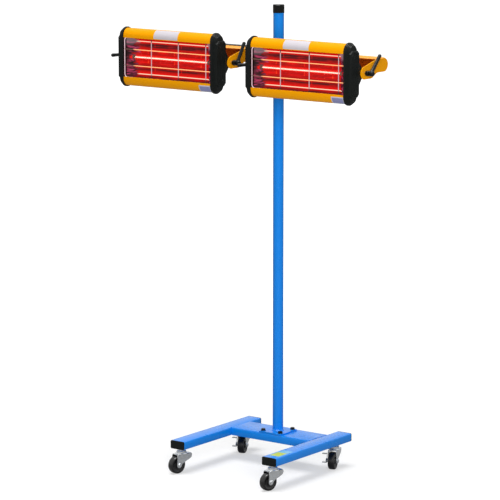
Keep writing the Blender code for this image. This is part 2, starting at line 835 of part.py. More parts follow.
def arm(stand):
    sleeve_bottom = ROLL_AXIS_HEIGHT - SLEEVE_LENGTH / 2
    collar_bottom = sleeve_bottom - FIT - COLLAR_LENGTH
    collar = joint("height", (0, 0, collar_bottom), stand)
    end = clamp_ring(
        "height_collar",
        COLLAR_DIAMETER,
        COLLAR_LENGTH,
        0,
        COLLAR_LENGTH / 2,
        BLACK_STEEL,
        collar,
    )
    knob = joint("collar_knob_axis", (0, 0, COLLAR_LENGTH / 2), collar)
    clamp_knob("height_knob", end, BLACK, knob)

    swivel = joint("arm", (0, 0, COLLAR_LENGTH + FIT), collar)
    knob_z = SLEEVE_LENGTH * ARM_KNOB_HEIGHT_SHARE
    end = clamp_ring(
        "arm_sleeve", SLEEVE_DIAMETER, SLEEVE_LENGTH, 0, knob_z, BLACK_STEEL, swivel
    )
    knob = joint("arm_knob_axis", (0, 0, knob_z), swivel)
    clamp_knob("arm_knob", end, BLACK, knob)
    crossbar(swivel)
    for side, label in ((-1, "left"), (1, "right")):
        yoke(side, label, swivel)


def crossbar(swivel):
    """A rectangular tube let into the sleeve's front, with a plug in each end."""
    middle_y = (BAR_FRONT + BAR_BACK) / 2
    middle_z = SLEEVE_LENGTH / 2
    tube = rectangular_tube(
        BAR_DEPTH, BAR_HEIGHT, BAR_LENGTH, FLAT_TO_SIDE, (0, middle_y, middle_z)
    )
    obj = piece("crossbar", tube, BLACK_STEEL, swivel)
    cut(
        obj,
        rod(
            SLEEVE_DIAMETER + 2 * FIT,
            SLEEVE_LENGTH,
            RING_SIDES,
            (0, 0, middle_z),
        ),
    )
    for side, label in ((-1, "left"), (1, "right")):
        hole = rod(
            PIVOT_DIAMETER + 2 * FIT,
            BAR_DEPTH + 2 * OVERRUN,
            centre=(side * HALF_HEAD_SPACING, middle_y, middle_z),
            turn=UP_TO_BACK,
        )
        cut(obj, hole)
        end = slab(
            [rounded_rectangle(BAR_DEPTH, BAR_HEIGHT, TUBE_CORNER)],
            BAR_CAP,
            FLAT_TO_SIDE,
            (side * (BAR_LENGTH / 2 + FIT + BAR_CAP / 2), middle_y, middle_z),
        )
        cap = piece(f"crossbar_cap_{label}", end, BLACK, swivel)
        round_edges(cap, BAR_CAP_EDGE)
        depth = PLUG_DEPTH + BAR_CAP / 2
        block = box(
            (depth, BAR_DEPTH - 2 * TUBE_CORNER - FIT, BAR_HEIGHT - 2 * TUBE_CORNER - FIT),
            (side * (BAR_LENGTH / 2 + BAR_CAP / 2 - depth / 2), middle_y, middle_z),
        )
        join(cap, block)


# Yokes, drawn about the roll axis, with Y measured from the pole's axis

def tangent_angle(centre, radius, point):
    """Where a line from an outside point touches a circle, in degrees."""
    across = point[0] - centre[0]
    up = point[1] - centre[1]
    towards = math.atan2(up, across)
    return math.degrees(towards + math.acos(radius / math.hypot(across, up)))


def cheek_outline():
    """The side of a yoke: round rear lobe, stepped underside and hinge lobe, as (y, z) points."""
    rear = (LOBE_Y, 0)
    front = (HINGE_Y, -HINGE_DROP)
    rear_radius = YOKE_LOBE_DIAMETER / 2
    front_radius = HINGE_LOBE_DIAMETER / 2
    corner = (WEB_BACK - TOP_FLANGE_DEPTH, rear_radius)
    leave = tangent_angle(front, front_radius, corner)
    points = arc(rear, rear_radius, 90, -90, 2 * ARC_STEPS)
    points.append((HINGE_Y + CHEEK_RISE_REACH, -rear_radius))
    points.append((HINGE_Y + CHEEK_LEVEL_REACH, -HINGE_DROP - front_radius))
    points += arc(front, front_radius, 270, leave, 2 * ARC_STEPS)
    return points + [corner]


def yoke(side, label, swivel):
    x = side * HALF_HEAD_SPACING
    axis_z = SLEEVE_LENGTH / 2
    roll = joint(f"yoke_{label}_axis", (x, 0, axis_z), swivel)
    half = YOKE_LOBE_DIAMETER / 2
    inside = CHEEK_INNER_X + YOKE_SHEET / 2
    bolt_hole = circle((0, 0), PIVOT_DIAMETER + 2 * FIT)
    web_outline = [(-inside, -half), (inside, -half), (inside, half), (-inside, half)]
    web = slab(
        [web_outline, bolt_hole], YOKE_SHEET, FLAT_TO_FRONT, (0, WEB_BACK - YOKE_SHEET / 2, 0)
    )
    obj = piece(f"yoke_{label}", web, YELLOW, roll)
    for depth, height in (
        (TOP_FLANGE_DEPTH, half - YOKE_SHEET / 2),
        (LOW_FLANGE_DEPTH, YOKE_SHEET / 2 - half),
    ):
        join(obj, box((2 * inside, depth, YOKE_SHEET), (0, WEB_BACK - depth / 2, height)))
    hinge_hole = circle((HINGE_Y, -HINGE_DROP), LEVER_STUD_DIAMETER + 2 * FIT)
    for end in (-1, 1):
        cheek_x = end * (CHEEK_INNER_X + YOKE_SHEET / 2)
        join(obj, slab([cheek_outline(), hinge_hole], YOKE_SHEET, FLAT_TO_SIDE, (cheek_x, 0, 0)))
    washer = slab(
        [circle((0, 0), PIVOT_WASHER_DIAMETER, RING_SIDES), bolt_hole],
        PIVOT_WASHER + YOKE_SHEET / 2,
        FLAT_TO_FRONT,
        (0, WEB_BACK + (PIVOT_WASHER - YOKE_SHEET / 2) / 2, 0),
    )
    join(obj, washer)
    pivot(label, x, axis_z, swivel)
    hinge = joint(f"hinge_{label}", (0, HINGE_Y, -HINGE_DROP), roll)
    for end, word in ((-1, "left"), (1, "right")):
        lever(end, word, label, roll)
    head(label, hinge)


def pivot(label, x, z, swivel):
    """The bolt that a yoke rolls on, and the knob that clamps it behind the crossbar."""
    axis = joint(f"pivot_{label}_axis", (x, 0, z), swivel)
    web_front = WEB_BACK - YOKE_SHEET
    head_middle = web_front - FIT - PIVOT_HEAD / 2
    bolt = piece(
        f"yoke_pivot_{label}",
        rod(PIVOT_HEAD_WIDTH, PIVOT_HEAD, HEXAGON, (0, head_middle, 0), UP_TO_BACK),
        ZINC,
        axis,
    )
    knob_start = BAR_BACK + FIT
    tip = knob_start + PIVOT_TAIL
    reach = tip - head_middle
    join(bolt, rod(PIVOT_DIAMETER, reach, centre=(0, tip - reach / 2, 0), turn=UP_TO_BACK))
    knob = star_knob(f"yoke_knob_{label}", BLACK, axis, knob_start)
    bore_depth = PIVOT_TAIL + FIT + OVERRUN
    bore_middle = knob_start + PIVOT_TAIL + FIT - bore_depth / 2
    bore = rod(
        PIVOT_DIAMETER + 2 * FIT, bore_depth, centre=(0, bore_middle, 0), turn=UP_TO_BACK
    )
    cut(knob, bore)


def lever(end, word, label, roll):
    """A clamp lever outside a cheek. Its stud passes the cheek into the end cap's hub."""
    axis = joint(f"lever_{label}_{word}_axis", (0, HINGE_Y, -HINGE_DROP), roll)
    hub_start = CHEEK_OUTER_X + FIT
    hub_middle = end * (hub_start + LEVER_HUB_LENGTH / 2)
    obj = piece(
        f"lever_{label}_{word}",
        rod(LEVER_HUB_DIAMETER, LEVER_HUB_LENGTH, centre=(hub_middle, 0, 0), turn=UP_TO_X),
        BLACK,
        axis,
    )
    round_edges(obj, LEVER_HUB_EDGE)
    stud_tip = CAP_OUTER_X + LUG_RISE - LEVER_STUD_DEPTH
    stud_root = hub_start + LEVER_STUD_ROOT
    stud = rod(
        LEVER_STUD_DIAMETER,
        stud_root - stud_tip,
        BOLT_SIDES,
        (end * (stud_root + stud_tip) / 2, 0, 0),
        UP_TO_X,
    )
    join(obj, stud)
    lean = RIGHT_LEVER_LEAN if end > 0 else LEFT_LEVER_LEAN
    arm_x = end * (hub_start + LEVER_HUB_LENGTH * LEVER_ARM_ALONG_SHARE)
    tilt = Matrix.Rotation(-lean, 4, "X")
    shaft = rod(
        LEVER_ARM_ROOT,
        LEVER_ARM_LENGTH,
        BOLT_SIDES,
        (0, 0, LEVER_ARM_LENGTH / 2),
        end_diameter=LEVER_ARM_TIP,
    )
    join(obj, shaft, Matrix.Translation((arm_x, 0, 0)) @ tilt)
    tip = ball(LEVER_BALL_DIAMETER, (0, 0, LEVER_ARM_LENGTH))
    join(obj, tip, Matrix.Translation((arm_x, 0, 0)) @ tilt)


# Lamp heads, drawn about their hinge axis

CAP_BACK = -HINGE_BEHIND
HEAD_BACK = CAP_BACK - END_CAP_PROUD
HEAD_FRONT = HEAD_BACK - HEAD_DEPTH
CAP_FRONT = HEAD_FRONT - END_CAP_PROUD


def shell_half_path():
    """The upper half of the shell's outside, from the middle of its back to the lip's return."""
    radius = HEAD_DEPTH / 2
    centre = (HEAD_BACK - radius, SHELL_HEIGHT / 2 - radius)
    mouth = MOUTH_HEIGHT / 2
    path = [(HEAD_BACK, 0)]
    path += arc(centre, radius, 0, 180, 2 * ARC_STEPS)
    path += [(HEAD_FRONT, mouth), (HEAD_FRONT + LIP_RETURN, mouth)]
    return path


def sheet(name, rows, thickness, material, parent, mirrored):
    """A folded sheet: rows of points across it, bridged, mirrored about Z and thickened."""
    mesh = bpy.data.meshes.new(name)
    width = len(rows[0])
    points = [point for row in rows for point in row]
    faces = []
    for down in range(len(rows) - 1):
        for across in range(width - 1):
            first = down * width + across
            faces.append((first, first + width, first + width + 1, first + 1))
    mesh.from_pydata(points, [], faces)
    obj = piece(name, mesh, material, parent)
    if mirrored:
        mirror = obj.modifiers.new("lower half", "MIRROR")
        mirror.use_axis = (False, False, True)
        mirror.merge_threshold = WELD_WITHIN
    solidify = obj.modifiers.new("sheet", "SOLIDIFY")
    solidify.thickness = thickness
    solidify.offset = 1
    solidify.use_even_offset = True
    return obj


def shell(label, hinge):
    rows = [[(HALF_SHELL, y, z), (-HALF_SHELL, y, z)] for y, z in shell_half_path()]
    return sheet(f"head_shell_{label}", rows, SHELL_SHEET, YELLOW, hinge, True)


def cap_outline():
    """An end cap's outline, half round at top and bottom, as (y, z) points."""
    radius = (CAP_BACK - CAP_FRONT) / 2
    middle = CAP_BACK - radius
    height = SHELL_HEIGHT / 2 + END_CAP_PROUD - radius
    points = arc((middle, height), radius, 0, 180, 2 * ARC_STEPS)
    return points + arc((middle, -height), radius, 180, 360, 2 * ARC_STEPS)


def crown_outline():
    """The raised middle of an end cap, with its corners cut off."""
    back = CAP_BACK - CROWN_INSET
    front = CAP_FRONT - CROWN_PROUD
    top = CROWN_HEIGHT / 2
    upper = [
        (back, top - CROWN_CORNER),
        (back - CROWN_CORNER, top),
        (front + CROWN_CORNER, top),
        (front, top - CROWN_CORNER),
    ]
    return upper + [(y, -z) for y, z in reversed(upper)]


def lug_outline():
    """The lug behind an end cap, from a deep root to a round end on the hinge axis."""
    radius = LUG_DIAMETER / 2
    root = LUG_ROOT_HEIGHT / 2
    inside = CAP_BACK - LUG_NECK
    upper = [(-LUG_NECK, radius), (CAP_BACK, root), (inside, root)]
    lower = [(inside, -root), (CAP_BACK, -root), (-LUG_NECK, -radius)]
    return arc((0, 0), radius, -90, 90, 2 * ARC_STEPS) + upper + lower


def end_cap(end, word, label, hinge):
    middle = end * (CAP_OUTER_X - END_CAP_LENGTH / 2)
    body = slab([cap_outline()], END_CAP_LENGTH, FLAT_TO_SIDE, (middle, 0, 0))
    obj = piece(f"end_cap_{label}_{word}", body, BLACK, hinge)
    round_edges(obj, END_CAP_EDGE, segments=2, degrees=50)
    crown_root = CAP_OUTER_X - END_CAP_LENGTH + END_CAP_EDGE
    crown_end = CAP_OUTER_X + CROWN_RISE
    place = (end * (crown_root + crown_end) / 2, 0, 0)
    join(obj, slab([crown_outline()], crown_end - crown_root, FLAT_TO_SIDE, place))
    rib_depth = (CAP_BACK - CAP_FRONT) / CROWN_RIBS
    for number in range(1, CROWN_RIBS):
        size = (2 * RIB_DEPTH, RIB_GAP, CROWN_HEIGHT + OVERRUN)
        cut(obj, box(size, (end * crown_end, CAP_FRONT + number * rib_depth, 0)))
    lug_end = CAP_OUTER_X + LUG_RISE
    place = (end * (lug_end - LUG_THICKNESS / 2), 0, 0)
    join(obj, slab([lug_outline()], LUG_THICKNESS, FLAT_TO_SIDE, place))
    bore_depth = LEVER_STUD_DEPTH + FIT + OVERRUN
    bore_place = (end * (lug_end + OVERRUN - bore_depth / 2), 0, 0)
    bore = rod(LEVER_STUD_DIAMETER + 2 * FIT, bore_depth, centre=bore_place, turn=UP_TO_X)
    cut(obj, bore)


GUARD_Y = HEAD_FRONT + LIP_RETURN + FIT + GUARD_WIRE / 2
REFLECTOR_RIM_Y = GUARD_Y + GUARD_WIRE / 2 + FIT
REFLECTOR_BACK_Y = REFLECTOR_RIM_Y + REFLECTOR_DEPTH
LAMP_Y = REFLECTOR_BACK_Y - LAMP_FROM_REFLECTOR


def reflector(label, hinge):
    """A flat-backed trough whose ends slope in towards the back, open at the front."""
    steps = 3 * ARC_STEPS
    half_height = REFLECTOR_HEIGHT / 2
    section = []
    for step in range(steps + 1):
        share = math.sin(math.pi * (step / steps - 1 / 2))
        rise = abs(share) ** REFLECTOR_FLATNESS
        y = REFLECTOR_BACK_Y - REFLECTOR_DEPTH * rise
        end = REFLECTOR_HALF_BACK + REFLECTOR_END_SLOPE * rise
        section.append((end, y, half_height * share))
    points = [(side * x, y, z) for side in (1, -1) for x, y, z in section]
    count = len(section)
    faces = [(i, i + 1, count + i + 1, count + i) for i in range(count - 1)]
    faces.append(tuple(range(count - 1, -1, -1)))
    faces.append(tuple(range(count, 2 * count)))
    mesh = bpy.data.meshes.new("reflector")
    mesh.from_pydata(points, [], faces)
    obj = piece(f"reflector_{label}", mesh, POLISHED, hinge)
    solidify = obj.modifiers.new("sheet", "SOLIDIFY")
    solidify.thickness = REFLECTOR_SHEET
    solidify.offset = -1
    solidify.use_even_offset = True
    for end in (-1, 1):
        hole = rod(
            LAMP_END_DIAMETER + 2 * FIT,
            2 * LAMP_END_LENGTH + OVERRUN,
            centre=(end * LAMP_LENGTH / 2, LAMP_Y, 0),
            turn=UP_TO_X,
        )
        cut(obj, hole)


def heater(label, hinge):
    obj = piece(
        f"heater_tube_{label}",
        rod(LAMP_DIAMETER, LAMP_LENGTH, centre=(0, LAMP_Y, 0), turn=UP_TO_X),
        QUARTZ,
        hinge,
    )
    for end in (-1, 1):
        ceramic = rod(
            LAMP_END_DIAMETER,
            LAMP_END_LENGTH,
            centre=(end * LAMP_LENGTH / 2, LAMP_Y, 0),
            turn=UP_TO_X,
        )
        join(obj, ceramic)


def guard(label, hinge):
    """A wire frame with crossing bars, held behind the lips."""
    y = GUARD_Y
    corners = rounded_rectangle(GUARD_LENGTH, GUARD_HEIGHT, GUARD_CORNER)
    loop = [(x + GUARD_SHIFT, y, z) for x, z in corners]
    obj = piece(f"guard_{label}", wire(loop, GUARD_WIRE, closed=True), CHROME, hinge)
    for number in range(GUARD_BARS_UP):
        x = (number - (GUARD_BARS_UP - 1) / 2) * GUARD_UP_SPACING + GUARD_SHIFT
        bar = wire([(x, y, -GUARD_HEIGHT / 2), (x, y, GUARD_HEIGHT / 2)], GUARD_WIRE)
        join(obj, bar)
    for number in range(GUARD_BARS_ALONG):
        z = (number - (GUARD_BARS_ALONG - 1) / 2) * GUARD_ALONG_SPACING
        ends = (GUARD_SHIFT - GUARD_LENGTH / 2, GUARD_SHIFT + GUARD_LENGTH / 2)
        bar = wire([(x, y, z) for x in ends], GUARD_WIRE)
        join(obj, bar)


def switch(label, hinge):
    """The box on the head's back, with a rocker and a cable gland but no cord."""
    box_middle = HEAD_BACK + FIT + SWITCH_BOX_DEPTH / 2
    obj = piece(
        f"switch_box_{label}",
        box(
            (SWITCH_BOX_LENGTH, SWITCH_BOX_DEPTH, SWITCH_BOX_HEIGHT),
            (0, box_middle, -SWITCH_BOX_DROP),
        ),
        BLACK,
        hinge,
    )
    round_edges(obj, SWITCH_BOX_ROUNDING)
    face = HEAD_BACK + FIT + SWITCH_BOX_DEPTH
    half = ROCKER_HEIGHT / 2
    pocket = box(
        (
            ROCKER_LENGTH + 2 * RUNNING_FIT,
            2 * (half + RUNNING_FIT),
            ROCKER_HEIGHT + 2 * RUNNING_FIT,
        ),
        (0, face, -SWITCH_BOX_DROP),
    )
    cut(obj, pocket)
    pin = joint(f"rocker_{label}_axis", (0, face, -SWITCH_BOX_DROP), hinge)
    outline = arc((0, 0), half, 90, 270)
    outline += [(ROCKER_PROUD, -half), (ROCKER_WAIST, 0), (ROCKER_PROUD, half)]
    piece(f"rocker_{label}", slab([outline], ROCKER_LENGTH, FLAT_TO_SIDE), BLACK, pin)
    box_bottom = -SWITCH_BOX_DROP - SWITCH_BOX_HEIGHT / 2
    gland_hole = rod(
        GLAND_THREAD + 2 * FIT,
        2 * GLAND_THREAD_LENGTH,
        centre=(0, box_middle, box_bottom),
    )
    cut(obj, gland_hole)
    gland(label, box_middle, box_bottom, hinge)


def gland(label, y, box_bottom, hinge):
    """An empty cable gland screwed up into the box."""
    seat = box_bottom - FIT
    thread = GLAND_THREAD / 2
    inside = GLAND_BORE / 2
    outside = GLAND_DIAMETER / 2
    nose = seat - GLAND_LENGTH
    obj = turned(
        f"cable_gland_{label}",
        [
            (inside, seat + GLAND_THREAD_LENGTH - OVERRUN),
            (thread, seat + GLAND_THREAD_LENGTH - OVERRUN),
            (thread, seat),
            (outside, seat),
            (outside, nose + GLAND_TAPER),
            (outside - GLAND_TAPER, nose),
            (inside, nose),
        ],
        BLACK,
        hinge,
        closed=True,
        sides=SMALL_SIDES,
    )
    obj.location = (0, y, 0)


def head(label, hinge):
    shell(label, hinge)
    for end, word in ((-1, "left"), (1, "right")):
        end_cap(end, word, label, hinge)
    reflector(label, hinge)
    heater(label, hinge)
    guard(label, hinge)
    switch(label, hinge)


def main():
    stand = joint("stand", (0, POLE_Y, 0))
    base(stand)
    mast(stand)
    casters(stand)
    arm(stand)


main()
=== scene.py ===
"""Looks of a two-head infrared paint-curing lamp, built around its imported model."""

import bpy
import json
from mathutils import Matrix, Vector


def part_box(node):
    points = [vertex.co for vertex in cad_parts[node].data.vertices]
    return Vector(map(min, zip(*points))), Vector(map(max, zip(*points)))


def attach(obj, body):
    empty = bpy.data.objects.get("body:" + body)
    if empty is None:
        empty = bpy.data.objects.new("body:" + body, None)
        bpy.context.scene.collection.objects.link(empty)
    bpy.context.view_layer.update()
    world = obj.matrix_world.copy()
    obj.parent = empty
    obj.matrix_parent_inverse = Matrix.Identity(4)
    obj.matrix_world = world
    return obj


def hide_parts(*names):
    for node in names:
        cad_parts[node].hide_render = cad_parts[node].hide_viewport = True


bl_info = {
    "name": "Infrared Curing Lamp",
    "version": (1, 0, 0),
    "blender": (4, 5, 0),
    "location": "View3D > Sidebar > Curing Lamp",
    "description": "Dresses the packed curing lamp: finishes, finer pieces, glow and stage",
    "category": "Object",
}

import json
import math

import bmesh
import bpy
from bpy.props import FloatProperty, FloatVectorProperty, PointerProperty
from mathutils import Matrix, Vector

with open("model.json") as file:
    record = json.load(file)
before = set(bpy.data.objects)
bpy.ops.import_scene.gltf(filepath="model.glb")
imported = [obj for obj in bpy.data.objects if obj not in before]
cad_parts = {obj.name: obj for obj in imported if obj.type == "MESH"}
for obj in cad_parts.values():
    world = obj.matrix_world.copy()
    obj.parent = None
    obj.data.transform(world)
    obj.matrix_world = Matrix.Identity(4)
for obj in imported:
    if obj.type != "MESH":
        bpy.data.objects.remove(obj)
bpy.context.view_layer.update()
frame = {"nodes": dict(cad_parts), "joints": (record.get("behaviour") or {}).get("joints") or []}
JOINTS = {joint["name"]: joint for joint in frame["joints"]}

SIDES = (("left", -1), ("right", 1))
# Each end of each head: the head's side, the end's own side and which way it faces
HEAD_ENDS = [(side, word, end) for side, _ in SIDES for word, end in SIDES]
CASTERS = ("front_left", "front_right", "rear_left", "rear_right")
MM = 0.001
WELD = 0.00001

# Local axes of pieces that are turned, stood along Z, and then laid down
ALONG_X = Matrix.Rotation(math.pi / 2, 4, "Y")
ALONG_Y = Matrix.Rotation(-math.pi / 2, 4, "X")


def linear(code):
    """An sRGB hex colour as linear RGB."""
    channels = [int(code[place:place + 2], 16) / 255 for place in (1, 3, 5)]
    return tuple(
        value / 12.92 if value <= 0.04045 else ((value + 0.055) / 1.055) ** 2.4
        for value in channels
    )


def colour(name, description, code):
    """A colour setting with an sRGB hex default."""
    return FloatVectorProperty(
        name=name,
        description=description,
        subtype="COLOR",
        size=3,
        min=0,
        max=1,
        default=linear(code),
    )


def length(name, description, millimetres):
    """A length setting with its default in millimetres."""
    return FloatProperty(
        name=name,
        description=description,
        default=millimetres * MM,
        min=0,
        unit="LENGTH",
        precision=4,
    )


class LampColours(bpy.types.PropertyGroup):
    """Colours of the lamp's finishes."""

    blue: colour("Blue", "Powder coat of the stand", "#0A88EE")
    yellow: colour("Yellow", "Powder coat of the shells and yokes", "#F7A400")
    # Painted shade: a darker, redder copy of the yellow coat for the yokes' faces turned to the
    # heads
    shaded_yellow: colour("Shaded yellow", "Powder coat behind the heads", "#B85408")
    black_paint: colour("Black paint", "Powder coat of the arm and its collar", "#17181A")
    black_plastic: colour("Black plastic", "Moulded caps, knobs and plugs", "#131615")
    rubber: colour("Rubber", "Wheels", "#111111")
    zinc: colour("Zinc", "Plated forks, pedals and bolts", "#DDE0E2")
    aluminium: colour("Aluminium", "Polished reflectors", "#D8D6D2")
    wire: colour("Wire", "Chromed guards", "#E4DEDC")
    # Painted light: the glow's light on the guard's wire, painted as emission
    wire_pink: colour("Pink wire", "Light of the glow on the guards' uprights", "#F6C8D0")
    wire_orange: colour("Orange wire", "Light of the glow on the level wires", "#FFA060")
    ceramic: colour("Ceramic", "Holders at the tube's ends", "#7A5A50")
    # Painted reflection: the colours below paint the reflector's red glow, hot lines, rays, pale
    # room and dark ends as emission; white-hot is also the filament's own glow
    ember: colour("Ember", "Darkest red in the reflector", "#3A0508")
    red: colour("Red", "Red glow that fills the reflector", "#E20400")
    orange: colour("Orange", "Rim of the hot lines", "#FF5A1E")
    ray: colour("Ray", "Thin reflections of the wires in the reflector's ends", "#9A2E50")
    room_reflection_tone: colour("Room reflection", "Pale reflection of the room in the reflector's ends", "#8C7C82")
    hot: colour("White-hot", "Filament and its reflections", "#FFE9CC")
    shade: colour("Shade", "Dark reflections in the reflector's ends", "#3C1018")
    label: colour("Label", "Blank label on the upper lip", "#CCC6CC")
    label_edge: colour("Label edge", "Border of the blank label", "#C9C6CC")
    foil: colour("Foil", "Blank plate on the lower lip", "#9496C4")
    foil_edge: colour("Foil edge", "Border of the blank plate", "#D9D9E2")
    sticker: colour("Sticker", "Blank sticker on the right leg", "#C6D21A")
    sticker_base: colour("Sticker base", "Backing of the leg's sticker", "#6DB9E8")


class LampSizes(bpy.types.PropertyGroup):
    """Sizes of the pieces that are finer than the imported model's."""

    edge: length("Edge rounding", "Rounding of the stand's edges", 0.8)
    sheet_edge: length("Sheet edge", "Rounding of pressed sheet edges", 0.5)
    cap_step: length("Cap step", "How far each ridge of an end cap stands in", 2.8)
    guard_wire: length("Guard wire", "Diameter of the guard's wire", 3.0)
    tube: length("Quartz tube", "Outer diameter of the heater tube", 10.0)
    coil: length("Filament coil", "Diameter of the filament's coil", 2.4)
    label_width: length("Label width", "Width of the blank label", 105.0)
    foil_width: length("Foil width", "Width of the blank plate on the lower lip", 50.0)


class LampStage(bpy.types.PropertyGroup):
    """Where the camera stands, and how bright the studio is."""

    azimuth: FloatProperty(
        name="Azimuth",
        description="Turn of the camera round the lamp",
        default=math.radians(36.4),
        unit="ROTATION",
    )
    elevation: FloatProperty(
        name="Elevation",
        description="Height of the camera's line above level",
        default=math.radians(10.0),
        unit="ROTATION",
    )
    distance: FloatProperty(
        name="Distance",
        description="From the camera to the middle of the lamp",
        default=10.0,
        unit="LENGTH",
    )
    lens: FloatProperty(
        name="Lens",
        description="Focal length on a 36 mm sensor",
        default=203.2,
        unit="CAMERA",
    )
    target: FloatVectorProperty(
        name="Target",
        description="The point that the camera looks at",
        subtype="XYZ",
        size=3,
        default=(-0.0805, 0.0547, 0.7775),
    )
    sky: FloatProperty(
        name="Sky",
        description="Strength of the studio's light from all round",
        default=0.14,
        min=0,
    )
    key: FloatProperty(
        name="Key light",
        description="Power of the soft light overhead",
        default=2350.0,
        min=0,
        unit="POWER",
    )
    fill: FloatProperty(
        name="Front light",
        description="Power of the soft light beside the camera",
        default=250.0,
        min=0,
        unit="POWER",
    )


# Finishes

BLUE_COAT = "blue powder coat on steel tube"
YELLOW_COAT = "yellow powder coat on sheet"
SHADED_YELLOW_COAT = "yellow powder coat, painted shade"
BLACK_COAT = "black powder coat on steel"
NYLON = "glass-filled nylon, moulded"
POLYAMIDE = "polyamide, gloss moulded"
TREAD = "black polyurethane tread"
ZINC = "bright zinc plate"
STEATITE = "steatite ceramic"
REFLECTOR = "polished aluminium, painted reflections"
UPRIGHT_WIRE = "chromed wire, upright, painted glow"
LEVEL_WIRE = "chromed wire, level, painted glow"
FILAMENT = "tungsten filament"
QUARTZ = "clear quartz"
LABEL = "white vinyl, blank"
FOIL = "silver foil, blank"
STICKER = "yellow-green vinyl, blank"
STICKER_BASE = "pale blue vinyl, blank"
PAPER = "white paper floor"


# How the finishes are made

def connect(tree, node, links):
    """Links a node's sockets or gives them values. A node stands for its first result."""
    for socket, value in links.items() if isinstance(links, dict) else enumerate(links):
        if isinstance(value, bpy.types.Node):
            value = next(result for result in value.outputs if result.enabled)
        if isinstance(value, bpy.types.NodeSocket):
            tree.links.new(value, node.inputs[socket])
        else:
            node.inputs[socket].default_value = value


def add(tree, kind, links=(), **settings):
    """Adds a node with its settings, and its links and values by socket or in order."""
    node = tree.nodes.new(f"ShaderNode{kind}")
    for name, value in settings.items():
        setattr(node, name, value)
    connect(tree, node, links)
    return node


def new_finish(name, coordinates="Object"):
    """A new material: its nodes, its main shader and the places on its surface."""
    material = bpy.data.materials.new(name)
    material.use_nodes = True
    tree = material.node_tree
    return tree, tree.nodes["Principled BSDF"], add(tree, "TexCoord").outputs[coordinates]


def toned(value, share):
    """A colour made lighter or darker, with its alpha."""
    return (*(min(1, channel * share) for channel in value), 1)


def ramp(node, stops):
    """Gives a colour ramp its stops of (place, colour)."""
    elements = node.color_ramp.elements
    while len(elements) > 1:
        elements.remove(elements[-1])
    elements[0].position = stops[0][0]
    elements[0].color = stops[0][1]
    for place, value in stops[1:]:
        elements.new(place).color = value
    return node


def textured(tree, shader, tones, gloss, relief, links):
    """Gives a shader colour, roughness and relief, each as a pattern and two values."""
    tone = add(tree, "Mix", dict(zip((0, 6, 7), tones)), data_type="RGBA")
    rough = add(tree, "MapRange", dict(zip(("Value", "To Min", "To Max"), gloss)))
    bump = add(tree, "Bump", dict(zip(("Height", "Strength", "Distance"), relief)))
    connect(tree, shader, {"Base Color": tone, "Roughness": rough, "Normal": bump, **links})


def powder_coat(name, value, roughness, sheen):
    """Baked powder coat: satin, with the soft ripple of orange peel and faint clouding."""
    tree, shader, place = new_finish(name)
    # Orange peel is about 2 mm across; it is drawn at 5 mm so that it shows in the render
    peel = add(tree, "TexNoise", {"Vector": place, "Scale": 1 / (5 * MM), "Detail": 2.0})
    cloud = add(tree, "TexNoise", {"Vector": place, "Scale": 1 / (140 * MM), "Detail": 3.0})
    textured(
        tree,
        shader,
        (cloud, toned(value, 0.93), toned(value, 1.06)),
        (cloud, roughness - 0.05, roughness + 0.05),
        (peel, 0.12, 0.2 * MM),
        {"IOR": 1.5, "Specular IOR Level": sheen},
    )


def moulded(name, value, roughness, texture, sheen=0.22, ior=1.53):
    """Moulded plastic or rubber: a fine spark-eroded skin that breaks up its highlights."""
    tree, shader, place = new_finish(name)
    grain = add(tree, "TexNoise", {"Vector": place, "Scale": 1 / texture, "Detail": 4.0})
    cloud = add(tree, "TexNoise", {"Vector": place, "Scale": 1 / (60 * MM)})
    textured(
        tree,
        shader,
        (cloud, toned(value, 0.8), toned(value, 1.25)),
        (grain, roughness - 0.08, roughness + 0.08),
        (grain, 0.2, 0.15 * MM),
        {"IOR": ior, "Specular IOR Level": sheen},
    )


def plated(name, value, roughness, rolled):
    """Plated or polished metal: bright, with faint lines from rolling and a patchy sheen."""
    tree, shader, place = new_finish(name)
    # Rolling lines are under 0.1 mm apart; they are drawn at the scale given, so that they show
    stretched = add(tree, "Mapping", {"Vector": place, "Scale": (0.12, 1.0, 1.0)})
    lines = add(tree, "TexNoise", {"Vector": stretched, "Scale": 1 / rolled, "Detail": 3.0})
    spangle = add(
        tree, "TexVoronoi", {"Vector": place, "Scale": 1 / (7 * MM)}, feature="SMOOTH_F1"
    )
    textured(
        tree,
        shader,
        (spangle, toned(value, 1.08), toned(value, 0.82)),
        (lines, roughness - 0.06, roughness + 0.1),
        (lines, 0.1, 0.1 * MM),
        {"Metallic": 1.0},
    )


# Painted reflection of the filament: bands across the reflector, as (height in mm, heat, share of
# painted dark streaks). Heat 1 is white-hot
PAINTED_REFLECTION_BANDS = (
    (-75, 0.3, 0.6),
    (-68, 0.42, 0.8),
    (-62.2, 0.52, 0.2),
    (-60.9, 0.96, 0.0),
    (-59.0, 0.98, 0.0),
    (-57.8, 0.6, 0.0),
    (-50, 0.5, 0.2),
    (-43, 0.42, 0.9),
    (-36, 0.5, 0.3),
    (-31, 0.44, 0.5),
    (-25, 0.56, 0.5),
    (-18, 0.6, 0.9),
    (-10, 0.5, 0.2),
    (-5, 0.62, 0.0),
    (5, 0.62, 0.0),
    (10, 0.46, 0.3),
    (18, 0.6, 0.9),
    (25, 0.6, 0.7),
    (31, 0.5, 0.3),
    (36, 0.4, 0.8),
    (45, 0.36, 1.0),
    (50, 0.55, 0.2),
    (52.8, 0.6, 0.0),
    (54.1, 0.98, 0.0),
    (56.0, 0.96, 0.0),
    (57.2, 0.55, 0.0),
    (66, 0.4, 0.3),
    (75, 0.25, 0.5),
)
BAND_REACH = 75 * MM
# Where the painted red reflection ends: at the walls, and further out in front of the tube
GLOW_REACH = 156 * MM
CONE_REACH = 172 * MM
